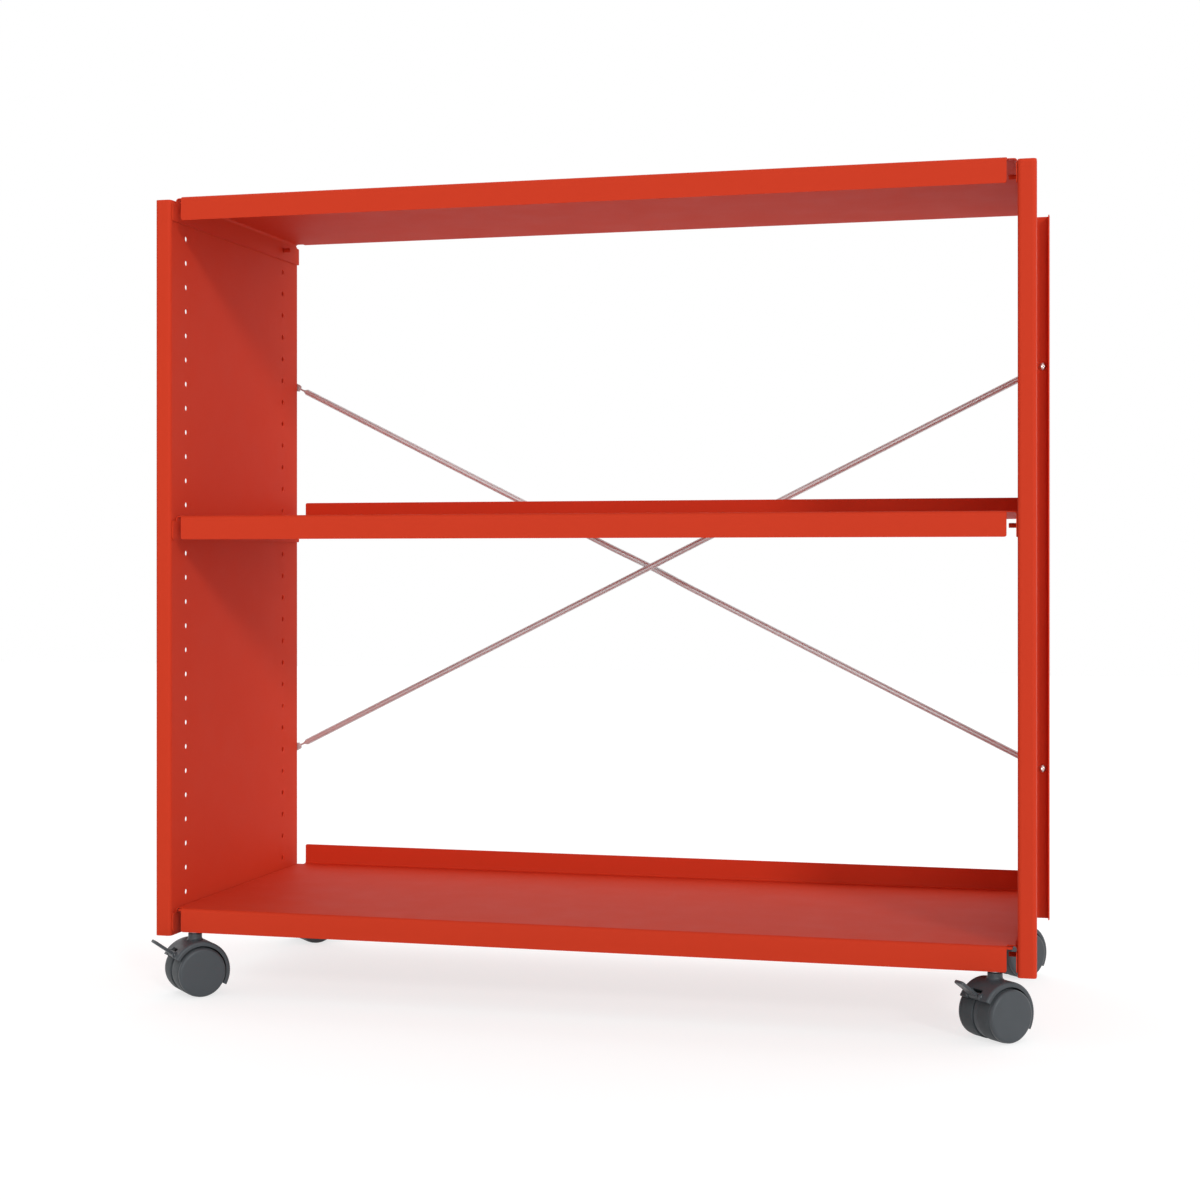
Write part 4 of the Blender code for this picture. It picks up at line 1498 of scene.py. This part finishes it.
    def hood_shell(self) -> Surface:
        """The hood's middle surface less its notch: x = r cos a, z = r sin a, r and y from its section.

        The section runs from one side's rim over the crown to the other's, and a covers half a turn.

        Returns:
            The surface.
        """
        half = self.cap[1] - self.wall / 2
        rim, bend = self.hood_rim
        corners = [(rim, -half), (self.crown, -half), (self.crown, half), (rim, half)]
        section = FoldedSection(corners, bend)
        lines = [section.where(self.crown, y) for y in (-self.ear[1], 0, self.ear[1])]
        notch_top = self.pivot[1] - self.notch
        round_hood = np.linspace(-self.tilt, math.pi - self.tilt, self.hood_points)
        angle = np.unique(np.concatenate([round_hood, [notch_top]]))
        across = np.unique(np.concatenate([section.length, lines]).round(DECIMALS))
        radius, y = section.at(across)
        angle_grid, radius_grid = np.meshgrid(angle, radius, indexing="ij")
        y_grid = np.broadcast_to(y, radius_grid.shape)
        places = [radius_grid * np.cos(angle_grid), y_grid, radius_grid * np.sin(angle_grid)]
        past_top = angle[:-1, None] > notch_top - WELD
        between_ears = np.abs(y[:-1] + y[1:])[None] / 2 < self.ear[1]
        keep = ~(past_top & between_ears) if self.braked else None
        return Surface.grid(np.stack(places, axis=-1), keep=keep)

    def neck_ring(self) -> Surface:
        """The neck round the stem, with a fillet that rides on the hood's crown.

        At radius r and angle a, the crown is at sqrt(R2 - (r cos a)2).

        Returns:
            The neck.
        """
        angle = round_angles(self.neck_steps)
        radius, top, bottom = self.neck
        inner, edge = self.stem + self.clearance, self.neck_edge
        sweep = quarter_turn(self.fillet_points)[::-1, None]
        flare = radius + self.fillet * (1 - np.sin(sweep))
        crown = np.sqrt(self.hood[1] ** 2 - (flare * np.cos(angle)) ** 2)
        rows = [
            (inner, bottom),
            (inner, top - edge),
            (inner + edge, top),
            (radius - edge, top),
            (radius, top - edge),
            (flare, crown + self.fillet * (1 - np.cos(sweep))),
            (flare[-1], crown[-1] - self.wall / 2),
            (radius, bottom),
        ]
        return ringed(rows, angle, ring=True)

    def hood_inside(self) -> Surface:
        """The web between the wheels, the neck and, with a lever, the ears that hold its pin.

        The web's outline is the hood's middle radius under the hood and a smaller one elsewhere.

        Returns:
            The surfaces as one.
        """
        under = np.linspace(-self.tilt, self.web_end, self.web_points[0])
        below = np.linspace(self.web_end, FULL_TURN - self.tilt, self.web_points[1])
        outline = np.repeat([self.crown, self.web[1]], self.web_points)
        bore = self.axle[0] + self.clearance
        upright = turn_about(Axis.X, math.pi / 2)
        web = eye_plate(bore, outline, self.web[0], self.rim_edge, np.concatenate([under, below]))
        whole = web.moved(upright) + self.neck_ring()
        if self.braked:
            radius, near, far = self.ear
            bore, half = self.pin + self.clearance, (far - near) / 2
            ear = eye_plate(bore, radius, half, self.rim_edge, round_angles(self.neck_steps)).moved(upright)
            for y in (-(near + far) / 2, (near + far) / 2):
                whole = whole + ear.moved(shift=self.pivot_place + (0, y, 0))
        return whole

    def wheel(self) -> Surface:
        """A wheel core about Z, from the castor's middle outwards: round-edged cap, drum and blind hole.

        Returns:
            The core.
        """
        rim, inner, outer = self.cap
        bend, near = self.cap_round, self.tyre[1]
        hole, end = self.axle[0] + self.clearance, self.axle[1] + self.clearance
        profile = [
            (0, outer),
            (rim / 2, outer),
            *arc((rim - bend, outer - bend), bend, math.pi / 2, self.cap_points),
            (rim, inner),
            (self.drum, inner),
            (self.drum, near),
            (hole, near),
            (hole, end),
            (0, end),
        ]
        return turned(profile, self.steps)

    def tread_ring(self) -> Surface:
        """The tyre about Z: a flat tread between two rounded edges, over its bead.

        Returns:
            The tyre.
        """
        bead, inner, outer = self.tyre
        edge, centre = self.tyre_round, self.tread - self.tyre_round
        upper = arc((centre, outer - edge), edge, math.pi / 2, self.bead_points)
        lower = arc((centre, inner + edge), edge, 0, self.bead_points)
        return turned([(bead, outer), *upper, *lower, (bead, inner)], self.steps, ring=True)

    def pin_bar(self, radius: float, half: float) -> Surface:
        """A round pin along Y with chamfered ends.

        Args:
            radius: Its radius.
            half: Half its length.

        Returns:
            The pin.
        """
        edge = radius / self.pin_ratio
        profile = [(0, half), (radius - edge, half), (radius, half - edge), (radius, edge - half)]
        bar = turned([*profile, (radius - edge, -half), (0, -half)], self.pin_steps)
        return bar.moved(turn_about(Axis.X, math.pi / 2))

    def stem_bar(self, top: float) -> Surface:
        """The swivel stem about Z, with its shoulder and a snap groove near its upper end.

        Args:
            top: Its upper end, above the axle.

        Returns:
            The stem.
        """
        radius, edge = self.stem, self.stem_edge
        depth, upper, lower = self.groove
        wide, below, above = self.shoulder
        bottom = self.neck[2] + self.clearance
        profile = [
            (0, top),
            (radius - edge, top),
            (radius, top - edge),
            (radius, top - upper),
            (radius - depth, top - upper),
            (radius - depth, top - lower),
            (radius, top - lower),
            (radius, above),
            (wide - edge, above),
            (wide, above - edge),
            (wide, below + edge),
            (wide - edge, below),
            (radius, below),
            (radius, bottom + edge),
            (radius - edge, bottom),
            (0, bottom),
        ]
        return turned(profile, self.stem_steps)

    def lever_arm(self) -> Surface:
        """The brake lever about its pivot: a rounded arm, and a hub that swells to a cam over the wheels.

        The hub's outline is its radius plus a bump, height exp(-(turn / width)2), in the cam's direction.

        Returns:
            The lever in the castor's own frame.
        """
        length, width, thickness = self.lever
        low, high = np.array([-length, -width / 2, -thickness / 2]), np.array([0, width / 2, thickness / 2])
        arm = rounded_slab(low, high, *self.lever_round).moved(turn_about(Axis.Y, self.lever_tilt))
        angle = round_angles(self.hub_steps)
        radius, height = self.hub
        direction, spread = self.cam
        turn = np.angle(np.exp(1j * (angle - direction)))
        outline = radius + height * np.exp(-((turn / spread) ** 2))
        hub = eye_plate(self.pin + self.clearance, outline, width / 2, self.rim_edge, angle)
        return (arm + hub.moved(turn_about(Axis.X, math.pi / 2))).moved(shift=self.pivot_place)

    def corner_plate(self) -> Surface:
        """The plate under the tray, and the socket for the stem with its weld, in the unit's frame.

        Returns:
            The plate and the socket.
        """
        low, high = (np.array(corner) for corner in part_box(f"{self.name}_castor_plate"))
        thickness, rounding = self.plate
        under = high[2] - thickness
        plate = rounded_slab(np.array([low[0], low[1], under]), high, rounding, self.rim_edge)
        outer, cover = self.socket
        bore, end = self.stem + self.clearance, high[2] - cover
        edge, weld = self.socket_edge, self.weld
        profile = [
            (0, end),
            (bore, end),
            (bore, low[2] + edge),
            (bore + edge, low[2]),
            (outer - edge, low[2]),
            (outer, low[2] + edge),
            *arc((outer + weld, under - weld), weld, math.pi, self.bead_points),
            (0, under + edge),
        ]
        return plate + turned(profile, self.neck_steps).moved(shift=(self.centre[0], self.centre[1], 0))

    def build(self) -> None:
        """Makes the castor's pieces, each on its own body."""
        plate = f"{self.name}_castor_plate"
        make_piece(f"{self.name}_plate", self.corner_plate(), POWDER_COAT, FRAME_BODY, plate)
        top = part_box(f"{self.name}_castor_stem")[1].z - self.centre[2]
        self.add("stem", self.stem_bar(top), BARE_STEEL, FRAME_BODY)
        self.add_hood()
        self.add("axle", self.pin_bar(*self.axle), BARE_STEEL, self.swivel)
        for hand, angle in (("left", -math.pi / 2), ("right", math.pi / 2)):
            out = turn_about(Axis.X, angle)
            body = f"{self.name}_{hand}_wheel"
            self.add(f"{hand}_wheel", self.wheel().moved(out), SLATE_PLASTIC, body)
            self.add(f"{hand}_tyre", self.tread_ring().moved(out), DARK_TREAD, body)
        if self.braked:
            self.add("brake_lever", self.lever_arm(), SLATE_PLASTIC, f"{self.name}_brake")
            pin = self.pin_bar(self.pin, self.ear[2]).moved(shift=self.pivot_place)
            self.add("lever_pin", pin, BARE_STEEL, self.swivel)

    def add_hood(self) -> None:
        """Makes the hood from its shell, which gets its wall here, and what is inside it."""
        node = f"{self.name}_castor_hood"
        shell = self.placed(self.hood_shell())
        make_piece(f"{self.name}_hood", shell, SLATE_PLASTIC, self.swivel, node, self.wall, self.hood_edge)
        inside = self.placed(self.hood_inside())
        make_piece(f"{self.name}_hood_web", inside, SLATE_PLASTIC, self.swivel, node)


@dataclass(frozen=True)
class SunLight:
    """A broad lamp so far off that it lights the whole scene from one side.

    Attributes:
        towards: The direction that the light comes from.
        strength: Its strength.
        spread: Its width, seen from the unit, which softens its shadows.
    """

    towards: tuple[float, float, float]
    strength: float
    spread: float

    def build(self, name: str) -> None:
        """Adds the lamp.

        Args:
            name: Its name.
        """
        sun = bpy.data.lights.new(name, "SUN")
        sun.energy = self.strength
        sun.angle = self.spread
        lamp = bpy.data.objects.new(name, sun)
        x, y, z = self.towards
        lamp.rotation_euler = (math.atan2(math.hypot(x, y), z), 0, math.atan2(y, x) + math.pi / 2)
        bpy.context.scene.collection.objects.link(lamp)


@dataclass(frozen=True)
class Studio:
    """A pale floor, soft light from the front right, and the camera at the photograph's angle.

    Attributes:
        camera: The camera's place.
        yaw: How far it is turned to the left of straight back.
        focal_pixels: Its focal length in pixels of the frame.
        horizon: The horizon's row in the frame.
        frame_pixels: The frame's size.
        key: The light from the front right.
        fill: The weaker and broader light from the front.
        ambient: The strength of the light from all round, in front of the unit and behind it.
        ambient_blend: How far forwards and back the change between the two reaches.
        floor_grey: The floor's reflectance, as the camera sees it and as the object does.
        floor_glow: The white that the floor adds for the camera alone.
        floor_half: Half the floor's width.
    """

    camera: tuple[float, float, float] = (0.5209, -2.0769, 0.4407)
    yaw: float = math.radians(14.446)
    focal_pixels: float = 2049.3
    horizon: float = 562.17
    frame_pixels: int = 1200
    key: SunLight = SunLight(towards=(0.61, -0.79, 0.443), strength=0.9, spread=math.radians(9))
    fill: SunLight = SunLight(towards=(0.24, -0.97, 0.1), strength=0.6, spread=math.radians(25))
    ambient: tuple[float, float] = (0.53, 1.32)
    ambient_blend: float = 0.25
    floor_grey: tuple[float, float] = (0.35, 0.8)
    floor_glow: float = 0.72
    floor_half: float = 6.0

    def build(self) -> None:
        """Sets the stage up round the object."""
        bpy.context.scene.view_settings.view_transform = "Standard"
        self.add_floor()
        self.light_world()
        self.key.build("key_light")
        self.fill.build("fill_light")
        self.add_camera()

    @staticmethod
    def seen_directly(wiring: Wiring) -> Socket:
        """Tells what the camera sees, straight or in metal and glass, from what only lights the object.

        Args:
            wiring: The tree to add it to.

        Returns:
            One where the camera sees it, and nought elsewhere.
        """
        path = wiring.node("LightPath").outputs
        mirrored = {0: path["Is Glossy Ray"], 1: path["Is Transmission Ray"]}
        glossy = wiring.node("Math", mirrored, operation="MAXIMUM").outputs[0]
        either = {0: path["Is Camera Ray"], 1: glossy}
        return wiring.node("Math", either, operation="MAXIMUM").outputs[0]

    def add_floor(self) -> None:
        """A plane that keeps the object's shadow and is white beyond it."""
        line = np.linspace(-self.floor_half, self.floor_half, 3)
        x, y = np.meshgrid(line, line, indexing="ij")
        plane = Surface.grid(np.stack([x, y, np.zeros_like(x)], axis=-1))
        mesh = bpy.data.meshes.new("studio_floor")
        mesh.from_pydata(plane.points.tolist(), [], plane.faces.tolist())
        floor = bpy.data.objects.new("studio_floor", mesh)
        bpy.context.scene.collection.objects.link(floor)
        material = bpy.data.materials.new("studio_floor")
        material.use_nodes = True
        material.node_tree.nodes.clear()
        wiring = Wiring(material.node_tree)
        seen = self.seen_directly(wiring)
        to_camera, to_object = ((value, value, value, 1) for value in self.floor_grey)
        greys = {0: seen, MIX_INPUTS[0]: to_object, MIX_INPUTS[1]: to_camera}
        grey = wiring.node("Mix", greys, data_type="RGBA").outputs[MIX_OUTPUT]
        matt = wiring.node("BsdfDiffuse", {"Color": grey}).outputs[0]
        strength = wiring.node("Math", {0: seen, 1: self.floor_glow}, operation="MULTIPLY").outputs[0]
        glow = wiring.node("Emission", {"Strength": strength}).outputs[0]
        both = wiring.node("AddShader", {0: matt, 1: glow}).outputs[0]
        wiring.node("OutputMaterial", {"Surface": both})
        mesh.materials.append(material)

    def light_world(self) -> None:
        """White light that grows from the front to the back, behind which the background is plain white."""
        world = bpy.data.worlds.new("studio")
        world.use_nodes = True
        world.node_tree.nodes.clear()
        wiring = Wiring(world.node_tree)
        towards = wiring.node("TexCoord").outputs["Generated"]
        rearward = wiring.node("SeparateXYZ", {"Vector": towards}).outputs["Y"]
        front, rear = self.ambient
        limits = {"From Min": -self.ambient_blend, "From Max": self.ambient_blend}
        growth = {"Value": rearward, **limits, "To Min": front, "To Max": rear}
        strength = wiring.node("MapRange", growth).outputs["Result"]
        light = wiring.node("Background", {"Color": (1, 1, 1, 1), "Strength": strength}).outputs[0]
        white = wiring.node("Background", {"Color": (1, 1, 1, 1), "Strength": 1.0}).outputs[0]
        both = wiring.node("MixShader", {0: self.seen_directly(wiring), 1: light, 2: white}).outputs[0]
        wiring.node("OutputWorld", {"Surface": both})
        bpy.context.scene.world = world

    def add_camera(self) -> None:
        """A level camera, shifted so that its horizon lies where the photograph's does."""
        lens = bpy.data.cameras.new("camera")
        lens.lens = lens.sensor_width * self.focal_pixels / self.frame_pixels
        lens.shift_y = (self.horizon - self.frame_pixels / 2) / self.frame_pixels
        camera = bpy.data.objects.new("camera", lens)
        camera.location = self.camera
        camera.rotation_euler = (math.pi / 2, 0, self.yaw)
        bpy.context.scene.collection.objects.link(camera)
        bpy.context.scene.camera = camera


def main() -> None:
    """Builds the sub-assemblies in order."""
    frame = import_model()
    joints = {joint["name"]: joint for joint in frame["joints"]}
    Studio().build()
    for side in Side:
        SidePanel(side).build()
    for level in Level:
        ShelfTray(level).build()
        for row in Row:
            for side in Side:
                ShelfBolt(level, row, side).build()
    for slope in Slope:
        BraceRod(slope).build()
    for side in Side:
        for brace_level in BraceLevel:
            BraceScrew(side, brace_level).build()
    for row in Row:
        for side in Side:
            Castor(row, side, joints).build()


if __name__ == "__main__":
    logging.basicConfig(level=logging.INFO, format="%(name)s: %(message)s")
    main()
